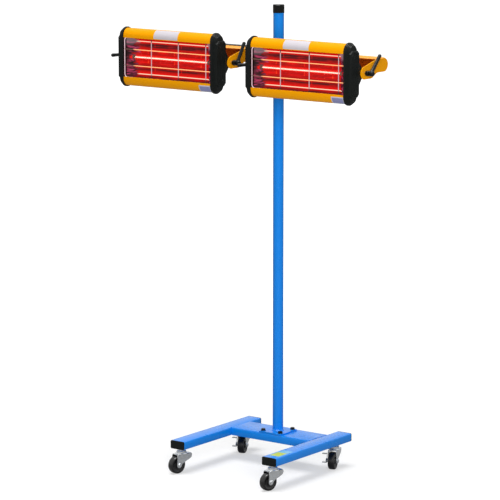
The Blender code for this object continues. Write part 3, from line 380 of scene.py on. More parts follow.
# Painted reflections of the guard's uprights, as (offset, middle height, half height) in mm
TICKS = ((-47, 16, 5), (-16, 43, 5))
TICK_HALF_WIDTH = 1.2 * MM
TICK_HEAT = 0.2
UPRIGHT_SPACING = 117 * MM
GUARD_MIDDLE = -12 * MM


def within(tree, value, reach, soft):
    """1 where a distance is under a reach, fading to 0 over a soft edge."""
    ends = {"From Min": reach, "From Max": reach + soft, "To Min": 1.0, "To Max": 0.0}
    return add(tree, "MapRange", {"Value": value, **ends})


def painted_filament_reflection(tree, place, axes, up, colours):
    """The painted reflection of the filament in the trough: its hot lines and red bands, as
    emission.
    """
    height = add(
        tree,
        "MapRange",
        {"Value": axes.outputs["Z"], "From Min": -BAND_REACH, "From Max": BAND_REACH},
    )
    bands = ramp(
        add(tree, "ValToRGB", {"Fac": height}),
        [((z * MM / BAND_REACH + 1) / 2, (heat, dark, 0, 1)) for z, heat, dark in PAINTED_REFLECTION_BANDS],
    )
    parts = add(tree, "SeparateColor", {"Color": bands})
    # Painted dark streaks that the wires and the rolled sheet throw along the trough, 5 mm apart
    drawn = add(tree, "Mapping", {"Vector": place, "Scale": (0.08, 0.2, 1.0)})
    streak = add(
        tree,
        "TexNoise",
        {"Vector": drawn, "Scale": 1 / (5 * MM), "Detail": 4.0, "Roughness": 0.65},
    )
    deep = add(
        tree, "MapRange", {"Value": streak, "From Min": 0.36, "From Max": 0.6, "To Max": 0.3}
    )
    loss = add(tree, "Math", (deep, parts.outputs["Green"]), operation="MULTIPLY")
    heat = add(tree, "Math", (parts.outputs["Red"], loss), operation="SUBTRACT")
    # The uprights repeat along the trough, so their painted reflections do too
    half_spacing = UPRIGHT_SPACING / 2
    for offset, middle, half_height in TICKS:
        shift = half_spacing - GUARD_MIDDLE - offset * MM
        moved = add(tree, "Math", (axes.outputs["X"], shift), operation="ADD")
        wrapped = add(tree, "Math", (moved, -half_spacing, half_spacing), operation="WRAP")
        aside = add(tree, "Math", (wrapped,), operation="ABSOLUTE")
        risen = add(tree, "Math", (up, middle * MM), operation="SUBTRACT")
        off = add(tree, "Math", (risen,), operation="ABSOLUTE")
        width = within(tree, aside, TICK_HALF_WIDTH, 1 * MM)
        rise = within(tree, off, half_height * MM, 1 * MM)
        tick = add(tree, "Math", (width, rise), operation="MULTIPLY")
        heat = add(tree, "Math", (tick, TICK_HEAT, heat), operation="MULTIPLY_ADD")
    return ramp(add(tree, "ValToRGB", {"Fac": heat}), [
        (0.0, toned(colours.ember, 0.5)),
        (0.22, toned(colours.ember, 2.6)),
        (0.42, toned(colours.red, 0.62)),
        (0.52, toned(colours.red, 0.9)),
        (0.62, toned(colours.red, 1.15)),
        (0.8, toned(colours.orange, 1.0)),
        (0.96, toned(colours.hot, 1.0)),
    ])


def painted_room_reflection(tree, rays, axes, colours):
    """Painted reflection on the end walls: dark corners of painted shade, thin rays and, near the
    top, the pale room.
    """
    wall = ramp(add(tree, "ValToRGB", {"Fac": rays}), [
        (0.38, toned(colours.shade, 0.3)),
        (0.5, toned(colours.shade, 1.3)),
        (0.57, toned(colours.ray, 0.6)),
        (0.64, toned(colours.ray, 1.4)),
    ])
    lofty = add(
        tree,
        "MapRange",
        {"Value": axes.outputs["Z"], "From Min": 40 * MM, "From Max": 54 * MM, "To Max": 0.6},
    )
    return add(tree, "Mix", {0: lofty, 6: wall, 7: toned(colours.room_reflection_tone, 1.0)}, data_type="RGBA")


def reflector_with_painted_glow(name, colours):
    """Polished aluminium with painted reflection: the filament in red, and the room at its dark
    ends, painted as emission.
    """
    tree, shader, place = new_finish(name)
    axes = add(tree, "SeparateXYZ", {"Vector": place})
    out = add(tree, "Math", (axes.outputs["X"],), operation="ABSOLUTE")
    up = add(tree, "Math", (axes.outputs["Z"],), operation="ABSOLUTE")
    # Thin painted rays of reflection, drawn 8 mm wide so that they show
    stretched = add(tree, "Mapping", {"Vector": place, "Scale": (0.25, 0.25, 1.0)})
    rays = add(
        tree,
        "TexNoise",
        {"Vector": stretched, "Scale": 1 / (8 * MM), "Detail": 3.0, "Distortion": 0.7},
    )
    cone = add(
        tree,
        "MapRange",
        {
            "Value": up,
            "From Min": 3 * MM,
            "From Max": 17 * MM,
            "To Min": CONE_REACH,
            "To Max": GLOW_REACH,
        },
    )
    past = add(tree, "Math", (out, cone), operation="SUBTRACT")
    # The painted rays break up the edge of the painted red
    ragged = add(tree, "Math", (rays, 70 * MM, past), operation="MULTIPLY_ADD")
    seen = add(
        tree,
        "Mix",
        {
            0: within(tree, ragged, 33 * MM, 6 * MM),
            6: painted_room_reflection(tree, rays, axes, colours),
            7: painted_filament_reflection(tree, place, axes, up, colours),
        },
        data_type="RGBA",
    )
    connect(tree, shader, {
        # The mirror's own reflection is all but off: it shows its surroundings only through the
        # painted reflection in its emission
        "Base Color": toned(colours.aluminium, 0.02),
        "Specular IOR Level": 0.0,
        "Roughness": 0.25,
        "Emission Color": seen,
        "Emission Strength": 1.0,
    })


def wire_with_painted_glow(name, value, glow, strength, painted_far_light):
    """Chromed wire in front of the glow, with the glow's light painted on as far as the glow
    reaches.
    """
    tree, shader, place = new_finish(name)
    axes = add(tree, "SeparateXYZ", {"Vector": place})
    out = add(tree, "Math", (axes.outputs["X"], -1), operation="MULTIPLY")
    up = add(tree, "Math", (axes.outputs["Z"],), operation="ABSOLUTE")
    along = within(tree, out, GLOW_REACH - 12 * MM, 12 * MM)
    lit = add(tree, "Math", (along, within(tree, up, 54 * MM, 6 * MM)), operation="MULTIPLY")
    # The loop's far end stands beyond the glow; a painted highlight of the room's light is put on
    # it instead
    beyond = {"From Min": GLOW_REACH, "From Max": GLOW_REACH + 3 * MM, "To Max": painted_far_light}
    end = add(tree, "MapRange", {"Value": out, **beyond})
    flicker = add(tree, "TexNoise", {"Vector": place, "Scale": 1 / (9 * MM)})
    shades = {0: flicker, 6: toned(glow, 0.7), 7: toned(glow, 1.25)}
    connect(tree, shader, {
        "Base Color": toned(value, 0.2),
        "Metallic": 1.0,
        "Roughness": 0.2,
        "Emission Color": add(tree, "Mix", shades, data_type="RGBA"),
        "Emission Strength": add(tree, "Math", (lit, strength, end), operation="MULTIPLY_ADD"),
    })


def hot_filament(name, colours):
    """Coiled tungsten at working heat, brighter where its turns lie closer."""
    tree, shader, place = new_finish(name)
    turns = add(tree, "TexNoise", {"Vector": place, "Scale": 1 / (12 * MM)})
    shades = {0: turns, 6: toned(colours.hot, 0.92), 7: (1, 1, 1, 1)}
    connect(tree, shader, {
        "Base Color": toned(colours.orange, 1.0),
        "Roughness": 0.5,
        "Emission Color": add(tree, "Mix", shades, data_type="RGBA"),
        "Emission Strength": 1.6,
    })


def glowing_quartz(name, colours):
    """Clear drawn quartz, tinted by the heat inside it, with faint draw lines."""
    tree, shader, place = new_finish(name)
    drawn = add(tree, "Mapping", {"Vector": place, "Scale": (0.05, 1.0, 1.0)})
    lines = add(tree, "TexNoise", {"Vector": drawn, "Scale": 1 / (2 * MM)})
    shades = {0: lines, 6: toned(colours.orange, 1.0), 7: toned(colours.hot, 0.9)}
    connect(tree, shader, {
        "Base Color": (1, 0.8, 0.75, 1),
        "Transmission Weight": 1.0,
        "Roughness": 0.04,
        # A thin wall hardly bends light, unlike the solid rod that 1.46 would draw
        "IOR": 1.08,
        "Emission Color": add(tree, "Mix", shades, data_type="RGBA"),
        "Emission Strength": 0.05,
    })


def blank_film(name, border, middle, margins, mottling, metallic=0.0):
    """Blank vinyl or foil with a plain border: satin, slightly uneven where it is pressed on."""
    tree, shader, place = new_finish(name, "Generated")
    axes = add(tree, "SeparateXYZ", {"Vector": place})
    inside = []
    for axis, margin in zip(("X", "Z"), margins):
        centred = add(tree, "Math", (axes.outputs[axis], 0.5), operation="SUBTRACT")
        away = add(tree, "Math", (centred,), operation="ABSOLUTE")
        inside.append(add(tree, "Math", (away, 0.5 - margin), operation="LESS_THAN"))
    both = add(tree, "Math", inside, operation="MULTIPLY")
    # Patches 6 to 20 mm wide, as so many across the piece
    mottle = add(tree, "TexNoise", {"Vector": place, "Scale": mottling, "Detail": 3.0})
    shades = {0: mottle, 6: toned(middle, 0.94), 7: toned(middle, 1.05)}
    parts = {0: both, 6: toned(border, 1.0), 7: add(tree, "Mix", shades, data_type="RGBA")}
    connect(tree, shader, {
        "Base Color": add(tree, "Mix", parts, data_type="RGBA"),
        "Roughness": 0.35,
        "Metallic": metallic,
        "IOR": 1.5,
    })


class LAMP_OT_mix_finishes(bpy.types.Operator):
    """Makes the materials of the lamp's finishes, some with painted light."""

    bl_idname = "lamp.mix_finishes"
    bl_label = "Mix the finishes"

    def execute(self, context):
        c = context.scene.lamp_colours
        # Blue powder coat on welded steel tube: level faces pick up the bright studio
        powder_coat(BLUE_COAT, c.blue, 0.28, 0.4)
        # Yellow powder coat on rolled and pressed sheet: even and warm, with a soft sheen
        powder_coat(YELLOW_COAT, c.yellow, 0.42, 0.1)
        # The same coat inside the yokes as painted shade: a darker, redder copy for the faces in
        # shade by the heads
        powder_coat(SHADED_YELLOW_COAT, c.shaded_yellow, 0.5, 0.1)
        # Black powder coat on the arm: satin and deep
        powder_coat(BLACK_COAT, c.black_paint, 0.4, 0.2)
        # Glass-filled nylon: near black, with thin highlights on its ridges
        moulded(NYLON, c.black_plastic, 0.3, 1.6 * MM, 0.14)
        # Polyamide knobs and levers: darker and glossier than the caps
        moulded(POLYAMIDE, toned(c.black_plastic, 0.7)[:3], 0.26, 4 * MM)
        # Wheel tread: cast polyurethane, black with a dull shine
        moulded(TREAD, c.rubber, 0.28, 2.5 * MM, 0.5, 1.5)
        # Bright zinc plating on pressed steel: pale and cool, with a faint spangle
        plated(ZINC, c.zinc, 0.22, 2 * MM)
        # Unglazed steatite holders: chalky, and a dull red-brown
        moulded(STEATITE, c.ceramic, 0.75, 1.2 * MM, 0.2, 1.6)
        # Polished aluminium: a mirror whose red and white lines of the filament are painted
        # reflection
        reflector_with_painted_glow(REFLECTOR, c)
        # Chromed wire with painted light: the uprights are painted a pale pink, and the level wires
        # a glowing orange
        wire_with_painted_glow(UPRIGHT_WIRE, c.wire, c.wire_pink, 0.66, 1.0)
        wire_with_painted_glow(LEVEL_WIRE, c.wire, c.wire_orange, 1.5, 0.12)
        # Coiled tungsten: white-hot
        hot_filament(FILAMENT, c)
        # Drawn quartz: clear, with the filament's light in its wall
        glowing_quartz(QUARTZ, c)
        # Calendered vinyl: pale grey and satin
        blank_film(LABEL, c.label_edge, c.label, (0.02, 0.06), 5.0)
        # Metallised foil: cool violet grey with a silver border
        blank_film(FOIL, c.foil_edge, c.foil, (0.06, 0.14), 7.0, 0.35)
        # Calendered vinyl: yellow-green on a pale blue backing
        blank_film(STICKER_BASE, c.sticker_base, c.sticker_base, (0.04, 0.06), 6.0)
        blank_film(STICKER, c.sticker, c.sticker, (0.05, 0.08), 6.0)
        return {"FINISHED"}


def finish(name):
    """A material by its name. A name that was never made is an error."""
    return bpy.data.materials[name]


# Shaping tools

def skin(form, rings, closed=False, caps=True, slot=0):
    """Bridges rings of points, each as long as the last, into a surface."""
    rows = [[form.verts.new(point) for point in ring] for ring in rings]
    faces = []
    for number in range(len(rows) if closed else len(rows) - 1):
        below, above = rows[number], rows[(number + 1) % len(rows)]
        for i in range(len(below)):
            j = (i + 1) % len(below)
            faces.append(form.faces.new((below[i], below[j], above[j], above[i])))
    if caps and not closed:
        faces.append(form.faces.new(rows[0][::-1]))
        faces.append(form.faces.new(rows[-1]))
    for face in faces:
        face.material_index = slot


def turned(form, profile, place, sides=40, caps=True, slot=0):
    """A turned shape from (radius, height) points, stood along Z and then placed."""
    angles = [2 * math.pi * step / sides for step in range(sides)]
    rings = [
        [place @ Vector((r * math.cos(a), r * math.sin(a), z)) for a in angles]
        for r, z in profile
    ]
    skin(form, rings, caps=caps, slot=slot)


def tube(form, path, radii, sides, closed=False, slot=0):
    """A round bar along a path, with one radius or one for each point."""
    points = [Vector(point) for point in path]
    count = len(points)
    if not isinstance(radii, (list, tuple)):
        radii = [radii] * count
    rings = []
    side = None
    for number, point in enumerate(points):
        before = points[number - 1] if number or closed else point
        after = points[(number + 1) % count] if number < count - 1 or closed else point
        along = (after - before).normalized()
        side = along.orthogonal() if side is None else side
        side = (side - along * side.dot(along)).normalized()
        other = along.cross(side)
        ring = []
        for step in range(sides):
            angle = 2 * math.pi * step / sides
            ring.append(point + radii[number] * (math.cos(angle) * side + math.sin(angle) * other))
        rings.append(ring)
    skin(form, rings, closed=closed, slot=slot)


def plate(form, outline, start, end, through="X"):
    """A flat outline given a thickness through one axis. Its points run along the other two."""
    order = {"X": (0, 1, 2), "Y": (1, 0, 2), "Z": (1, 2, 0)}[through]
    rings = [
        [[(depth, u, v)[axis] for axis in order] for u, v in outline] for depth in (start, end)
    ]
    skin(form, rings)


def panel(low, high, radii):
    """A rectangle between two corners, with a radius for each, anticlockwise from the top right."""
    points = []
    corners = ((1, 1), (-1, 1), (-1, -1), (1, -1))
    for (across, up), first, radius in zip(corners, range(0, 360, 90), radii):
        corner = (high[0] if across > 0 else low[0], high[1] if up > 0 else low[1])
        if radius:
            centre = (corner[0] - across * radius, corner[1] - up * radius)
            points += arc(centre, radius, first, first + 90, 8)
        else:
            points.append(corner)
    return points


def arc(centre, radius, start, end, steps):
    """Points on an arc, from one angle in degrees to another."""
    angles = [math.radians(start + (end - start) * step / steps) for step in range(steps + 1)]
    return [(centre[0] + radius * math.cos(a), centre[1] + radius * math.sin(a)) for a in angles]


def beside(path, distance):
    """An open (y, z) path moved sideways, to its left for a positive distance."""
    points = [Vector(point) for point in path]
    moved = []
    for number, point in enumerate(points):
        sides = []
        for first, second in ((number - 1, number), (number, number + 1)):
            if 0 <= first and second < len(points):
                along = (points[second] - points[first]).normalized()
                sides.append(Vector((-along.y, along.x)))
        middle = sum(sides, Vector((0, 0))).normalized()
        moved.append(tuple(point + middle * distance / max(0.5, middle.dot(sides[0]))))
    return moved


def piece(name, form, materials, body, replaced=(), place=(0, 0, 0), edge=0.0, smooth=38):
    """Turns a form into a named piece that rides on its body."""
    bmesh.ops.remove_doubles(form, verts=form.verts, dist=WELD)
    bmesh.ops.recalc_face_normals(form, faces=form.faces)
    mesh = bpy.data.meshes.new(name)
    form.to_mesh(mesh)
    form.free()
    for material in materials:
        mesh.materials.append(finish(material))
    mesh.shade_smooth()
    mesh.set_sharp_from_angle(angle=math.radians(smooth))
    obj = bpy.data.objects.new(name, mesh)
    bpy.context.scene.collection.objects.link(obj)
    obj.location = place
    if edge:
        round_edges(obj, edge)
    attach(obj, body)
    if replaced:
        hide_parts(*replaced)
    return obj


def round_edges(obj, width):
    """Rounds the sharp edges and keeps the flats flat."""
    bevel = obj.modifiers.new("rounded edges", "BEVEL")
    bevel.width = width
    bevel.segments = 2
    bevel.limit_method = "ANGLE"
    bevel.angle_limit = math.radians(32)
    bevel.harden_normals = True


def origin(joint):
    """Where a joint's axis is, in the lamp's frame."""
    return Vector(JOINTS[joint]["pos_m"])


def head_piece(side, name, form, materials, replaced=(), edge=0.0):
    """A piece of one head, drawn about the head's hinge axis."""
    place = origin(f"tilt_{side}")
    return piece(name, form, materials, f"head_{side}", replaced, place, edge)


def in_mm(points, end=1):
    """(radius, height) points given in millimetres, with their heights turned to one side."""
    return [(radius * MM, end * height * MM) for radius, height in points]


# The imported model's own nodes, where their shape is right

def dress(name, material, edge):
    """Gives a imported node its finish, welded and with rounded edges."""
    obj = frame["nodes"][name]
    mesh = obj.data
    if "custom_normal" in mesh.attributes:
        mesh.attributes.remove(mesh.attributes["custom_normal"])
    mesh.materials.clear()
    mesh.materials.append(finish(material))
    mesh.shade_smooth()
    weld = obj.modifiers.new("weld", "WELD")
    weld.merge_threshold = WELD
    flat = obj.modifiers.new("one face to a flat", "DECIMATE")
    flat.decimate_type = "DISSOLVE"
    flat.angle_limit = math.radians(1)
    round_edges(obj, edge)


class LAMP_OT_dress_stand(bpy.types.Operator):
    """Gives the base, mast and casters their finishes."""

    bl_idname = "lamp.dress_stand"
    bl_label = "Dress the stand"

    def execute(self, context):
        sizes = context.scene.lamp_sizes
        for name in ("leg_left", "leg_right", "cross_beam", "base_plate", "pole"):
            dress(name, BLUE_COAT, sizes.edge)
        for name in [f"leg_plug_{end}_{side}" for end in ("front", "rear") for side, _ in SIDES]:
            dress(name, NYLON, sizes.edge)
        dress("pole_cap", POLYAMIDE, sizes.edge)
        for number in range(1, 5):
            dress(f"base_bolt_{number}", BLACK_COAT, sizes.sheet_edge)
        for side, _ in SIDES:
            dress(f"brake_pedal_rear_{side}", ZINC, sizes.sheet_edge)
        return {"FINISHED"}


class LAMP_OT_dress_arm(bpy.types.Operator):
    """Gives the collar, sleeve, crossbar, yoke pivots and switch boxes their finishes."""

    bl_idname = "lamp.dress_arm"
    bl_label = "Dress the arm"

    def execute(self, context):
        sizes = context.scene.lamp_sizes
        for name in ("height_collar", "arm_sleeve", "crossbar"):
            dress(name, BLACK_COAT, sizes.edge)
        for side, _ in SIDES:
            for name, material in (
                ("crossbar_cap", NYLON),
                ("yoke_pivot", ZINC),
                ("switch_box", NYLON),
                ("rocker", POLYAMIDE),
                ("cable_gland", NYLON),
            ):
                dress(f"{name}_{side}", material, sizes.sheet_edge)
        return {"FINISHED"}


# Heads, each drawn about its hinge axis

SHELL_LENGTH, SHELL_DEPTH, SHELL_HEIGHT = (
    high - low for low, high in zip(*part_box("head_shell_left"))
)
HALF_SHELL = SHELL_LENGTH / 2
HEAD_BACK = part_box("head_shell_left")[1].y - origin("tilt_left").y
HEAD_FRONT = HEAD_BACK - SHELL_DEPTH
LIP_EDGE = 69 * MM
LIP_RETURN = 5 * MM
SHELL_SHEET = 2 * MM
SHELL_EDGE = 0.35 * MM


def shell_path(steps=14):
    """The shell's outside, from the upper lip round the back to the lower lip, as (y, z)."""
    radius = SHELL_DEPTH / 2
    rise = SHELL_HEIGHT / 2 - radius
    middle = HEAD_BACK - radius
    upper = [(HEAD_FRONT + LIP_RETURN, LIP_EDGE), (HEAD_FRONT, LIP_EDGE)]
    upper += arc((middle, rise), radius, 180, 0, steps)
    lower = [(y, -z) for y, z in reversed(upper)]
    return upper + lower


class LAMP_OT_roll_shells(bpy.types.Operator):
    """Makes the rolled yellow shells of the heads."""

    bl_idname = "lamp.roll_shells"
    bl_label = "Roll the shells"

    def execute(self, context):
        outer = shell_path()
        section = outer + beside(outer, -SHELL_SHEET)[::-1]
        for side, _ in SIDES:
            form = bmesh.new()
            plate(form, section, -HALF_SHELL, HALF_SHELL)
            head_piece(
                side, f"shell_{side}", form, [YELLOW_COAT],
                [f"head_shell_{side}"], SHELL_EDGE,
            )
        return {"FINISHED"}


CAP_OVERHANG = 4 * MM
CAP_BACK = HEAD_BACK + CAP_OVERHANG
CAP_FRONT = HEAD_FRONT - CAP_OVERHANG
CAP_HALF_HEIGHT = SHELL_HEIGHT / 2 + CAP_OVERHANG
CAP_START = HALF_SHELL + 0.3 * MM
CAP_END = CAP_START + 21.5 * MM
CAP_EDGE = 0.5 * MM
RIDGES = 4
FIRST_RIDGE = 9 * MM
RIDGE_PITCH = 3.8 * MM
RIDGE_ROUNDING = 1.2 * MM
CROWN_END = CAP_END + 4.5 * MM
CROWN_HALF_HEIGHT = 79 * MM
CROWN_CORNER = 10 * MM
CROWN_SETBACK = 7 * MM
GROOVES = 4
GROOVE_PITCH = 5.4 * MM
GROOVE_DEPTH = 1.5 * MM
LUG_END = CAP_END + 4 * MM
LUG_THICKNESS = 18 * MM
LUG_RADIUS = 16 * MM
BOSS_START = LUG_END - 17 * MM
LUG_BOSS = ((12, 0), (12, 16), (11, 17))


def cap_ring(inset, steps=16):
    """An end cap's outline, half round at both ends, drawn in by an inset."""
    radius = (CAP_BACK - CAP_FRONT) / 2
    middle = CAP_BACK - radius
    rise = CAP_HALF_HEIGHT - radius
    points = arc((middle, rise), radius - inset, 0, 180, steps)
    return points + arc((middle, -rise), radius - inset, 180, 360, steps)


def cap_steps(step):
    """The ridges of an end cap, as (distance along X, inset)."""
    steps = [(CAP_START, 3 * MM), (CAP_START, 0.8 * MM), (CAP_START + 0.8 * MM, 0)]
    # Each ridge steps out along X as it steps in from the outline
    for number in range(RIDGES):
        x = CAP_START + FIRST_RIDGE + number * RIDGE_PITCH
        inset = number * step
        steps += [
            (x - RIDGE_ROUNDING, inset),
            (x - RIDGE_ROUNDING / 3, inset + RIDGE_ROUNDING / 3),
            (x, inset + RIDGE_ROUNDING),
            (x, inset + step - 0.6 * MM),
            (x + 0.6 * MM, inset + step),
        ]
    # The last ridge runs into the cap's flat end
    return steps[:-2] + [(CAP_END, steps[-3][1] + 0.6 * MM), (CAP_END, 5 * step)]


def crown_ring(inset):
    """The raised middle of an end cap, with its corners cut off."""
    back = CAP_BACK - 1 * MM - inset
    front = CAP_FRONT + CROWN_SETBACK + inset
    top = CROWN_HALF_HEIGHT - inset
    corner = CROWN_CORNER - inset / 3
    upper = [(back, top - corner), (back - corner, top)]
    upper += [(front + corner, top), (front, top - corner)]
    return upper + [(y, -z) for y, z in reversed(upper)]


def crown_steps():
    """The crown's side and the grooves in its face, as (distance along X, inset)."""
    steps = [(CAP_START + 3 * MM, 0.6 * MM), (CAP_START + 3.6 * MM, 0), (CROWN_END - 2 * MM, 0)]
    steps += [(CROWN_END - 0.6 * MM, 0.6 * MM), (CROWN_END, 2 * MM)]
    for number in range(1, GROOVES + 1):
        inset = number * GROOVE_PITCH
        steps += [
            (CROWN_END, inset),
            (CROWN_END - GROOVE_DEPTH, inset + 0.7 * MM),
            (CROWN_END - GROOVE_DEPTH, inset + 1.8 * MM),
            (CROWN_END, inset + 2.5 * MM),
        ]
    return steps


def lug_outline():
    """The lug behind an end cap, with its round end on the hinge axis."""
    upper = [(-11 * MM, LUG_RADIUS), (CAP_BACK, 36 * MM), (CAP_BACK - 11 * MM, 36 * MM)]
    lower = [(y, -z) for y, z in reversed(upper)]
    return arc((0, 0), LUG_RADIUS, -90, 90, 16) + upper + lower


def stack(form, ring, end, steps):
    """A shape of nested outlines, from (distance along X, inset) steps on one side."""
    skin(form, [[(end * x, y, z) for y, z in ring(inset)] for x, inset in steps])


class LAMP_OT_mould_end_caps(bpy.types.Operator):
    """Makes the ridged end caps with their hinge lugs."""

    bl_idname = "lamp.mould_end_caps"
    bl_label = "Mould the end caps"

    def execute(self, context):
        ridges = cap_steps(context.scene.lamp_sizes.cap_step)
        for side, word, end in HEAD_ENDS:
            form = bmesh.new()
            stack(form, cap_ring, end, ridges)
            stack(form, crown_ring, end, crown_steps())
            plate(form, lug_outline(), end * (LUG_END - LUG_THICKNESS), end * LUG_END)
            boss = Matrix.Translation((end * BOSS_START, 0, 0)) @ ALONG_X
            turned(form, in_mm(LUG_BOSS, end), boss)
            head_piece(
                side, f"cap_{side}_{word}", form, [NYLON],
                [f"end_cap_{side}_{word}"], CAP_EDGE,
            )
        return {"FINISHED"}


REFLECTOR_RIM_Y = HEAD_FRONT + LIP_RETURN + 3.6 * MM
REFLECTOR_DEPTH = 38 * MM
REFLECTOR_BACK_Y = REFLECTOR_RIM_Y + REFLECTOR_DEPTH
REFLECTOR_HALF_HEIGHT = 75 * MM
REFLECTOR_HALF_BACK = 146 * MM
REFLECTOR_END_SLOPE = 39 * MM
REFLECTOR_FLATNESS = 8
REFLECTOR_STEPS = 36
REFLECTOR_SHEET = 1 * MM


def trough_section():
    """The trough's right edge from bottom to top: a flat back that curves out to the rims."""
    section = []
    for step in range(REFLECTOR_STEPS + 1):
        share = math.sin(math.pi * (step / REFLECTOR_STEPS - 1 / 2))
        rise = abs(share) ** REFLECTOR_FLATNESS
        section.append((
            REFLECTOR_HALF_BACK + REFLECTOR_END_SLOPE * rise,
            REFLECTOR_BACK_Y - REFLECTOR_DEPTH * rise,
            REFLECTOR_HALF_HEIGHT * share,
        ))
    return section


class LAMP_OT_press_reflectors(bpy.types.Operator):
    """Makes the polished troughs behind the heater tubes."""

    bl_idname = "lamp.press_reflectors"
    bl_label = "Press the reflectors"

    def execute(self, context):
        section = trough_section()
        for side, _ in SIDES:
            form = bmesh.new()
            left, right = [
                [form.verts.new((end * x, y, z)) for x, y, z in section] for _, end in SIDES
            ]
            for low, high in zip(range(REFLECTOR_STEPS), range(1, REFLECTOR_STEPS + 1)):
                form.faces.new((left[low], left[high], right[high], right[low]))
            for row in (left, right[::-1]):
                form.faces.new(row)
            trough = head_piece(
                side, f"trough_{side}", form, [REFLECTOR],
                [f"reflector_{side}"],
            )
            sheet = trough.modifiers.new("sheet", "SOLIDIFY")
            sheet.thickness = REFLECTOR_SHEET
            sheet.offset = 0
        return {"FINISHED"}


TUBE_Y = REFLECTOR_BACK_Y - 18 * MM
TUBE_REACH = 172 * MM
TUBE_WALL = 1.1 * MM
# A real coil is wound at 1 mm; it is drawn at 2 mm so that its turns show
COIL_TURNS = 162
COIL_PITCH = 2 * MM
COIL_WIRE = 0.55 * MM
HOLDER = (
    (5.4, -11), (7.2, -11), (8, -10), (8, -3), (6.6, -2), (6.6, 2), (8, 3), (8, 10), (7, 11),
)


def coil_path(diameter, around=8):
    """The filament's turns, wound along the middle of the tube."""
    path = []
    for step in range(COIL_TURNS * around + 1):
        angle = 2 * math.pi * step / around
        path.append((
            (step / around - COIL_TURNS / 2) * COIL_PITCH,
            TUBE_Y + diameter / 2 * math.cos(angle),
            diameter / 2 * math.sin(angle),
        ))
    return path


class LAMP_OT_fit_heater_tubes(bpy.types.Operator):
    """Makes the quartz tubes with their filaments and ceramic holders."""

    bl_idname = "lamp.fit_heater_tubes"
    bl_label = "Fit the heater tubes"

    def execute(self, context):
        sizes = context.scene.lamp_sizes
        outer = sizes.tube / 2
        coil = coil_path(sizes.coil)
        for side, _ in SIDES:
            form = bmesh.new()
            tube(form, coil, COIL_WIRE, sides=5)
            head_piece(side, f"filament_{side}", form, [FILAMENT])
            form = bmesh.new()
            middle = Matrix.Translation((0, TUBE_Y, 0)) @ ALONG_X
            for radius in (outer, outer - TUBE_WALL):
                turned(form, [(radius, -TUBE_REACH), (radius, TUBE_REACH)], middle, 24)
            for _, end in SIDES:
                holder = Matrix.Translation((end * TUBE_REACH, TUBE_Y, 0)) @ ALONG_X
                turned(form, in_mm(HOLDER, end), holder, 24, slot=1)
            head_piece(
                side, f"quartz_tube_{side}", form, [QUARTZ, STEATITE],
                [f"heater_tube_{side}"],
            )
        return {"FINISHED"}


GUARD_Y = HEAD_FRONT + LIP_RETURN + 1.8 * MM
GUARD_UPRIGHTS = (GUARD_MIDDLE - 60 * MM, GUARD_MIDDLE + 59 * MM)
GUARD_LEVELS = (-28.5 * MM, 28.5 * MM)
WIDE_BEND = 12 * MM
TIGHT_BEND = 3 * MM
# The level wires run on past the loop, to the end of the mouth
LEVEL_WIRE_END = HALF_SHELL - 4 * MM


class LAMP_OT_bend_guards(bpy.types.Operator):
    """Makes the wire guards behind the lips."""

    bl_idname = "lamp.bend_guards"
    bl_label = "Bend the guards"

    def execute(self, context):
        radius = context.scene.lamp_sizes.guard_wire / 2
        low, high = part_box("guard_left")
        place = origin("tilt_left")
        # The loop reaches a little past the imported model's at both ends
        left = low.x - place.x + radius - 5 * MM
        right = high.x - place.x - radius + 4 * MM
        # The loop lies behind the lips, and its corners show below them
        top = LIP_EDGE + radius
        loop = []
        for number, (x, z) in enumerate(((right, top), (left, top), (left, -top), (right, -top))):
            corner = WIDE_BEND if x < 0 else TIGHT_BEND
            inward = (x - math.copysign(corner, x), z - math.copysign(corner, z))
            loop += arc(inward, corner, 90 * number, 90 * number + 90, 8)
        for side, _ in SIDES:
            form = bmesh.new()
            tube(form, [(x, GUARD_Y, z) for x, z in loop], radius, closed=True, sides=12)
            for x in GUARD_UPRIGHTS:
                tube(form, [(x, GUARD_Y, z) for z in (-top, top)], radius, sides=12)
            for z in GUARD_LEVELS:
                level = [(x, GUARD_Y, z) for x in (left, LEVEL_WIRE_END)]
                # A little thinner, so that no two skins lie in each other where wires cross
                tube(form, level, radius * 0.98, sides=12, slot=1)
            head_piece(
                side, f"wire_guard_{side}", form, [UPRIGHT_WIRE, LEVEL_WIRE],
                [f"guard_{side}"],
            )
        return {"FINISHED"}


# Yokes, drawn about the hinge axis

CHEEK_INNER = 218.1 * MM
CHEEK_OUTER = 221.1 * MM
YOKE_SHEET = 3 * MM
YOKE_CORNER = 20 * MM
YOKE_EDGE = 0.5 * MM
WEB_BACK = 140 * MM
ROLL_AXIS = (117 * MM, 18 * MM)
REAR_LOBE = 23 * MM
HINGE_LOBE = 21.5 * MM
YOKE_TOP = ROLL_AXIS[1] + REAR_LOBE
YOKE_LOW = ROLL_AXIS[1] - REAR_LOBE
TOP_FLANGE = 70 * MM
LOW_FLANGE = 30 * MM
PIVOT_WASHER = ((20, 0), (20, 5.4), (19.4, 6))


def cheek_outline():
    """A yoke's side: rear lobe, stepped underside and hinge lobe, as (y, z) points."""
    corner = (WEB_BACK - TOP_FLANGE, YOKE_TOP)
    reach = math.hypot(*corner)
    leave = math.degrees(math.atan2(corner[1], corner[0]) + math.acos(HINGE_LOBE / reach))
    points = arc(ROLL_AXIS, REAR_LOBE, 90, -90, 28)
    points += [(78 * MM, YOKE_LOW), (72 * MM, YOKE_LOW - 1.2 * MM)]
    points += [(44 * MM, 0.6 * MM - HINGE_LOBE), (38 * MM, -HINGE_LOBE)]
    points += arc((0, 0), HINGE_LOBE, 270, leave, 28)
    return points + [(corner[0] - 3 * MM, corner[1] - 1.6 * MM), (corner[0] + 4 * MM, corner[1])]


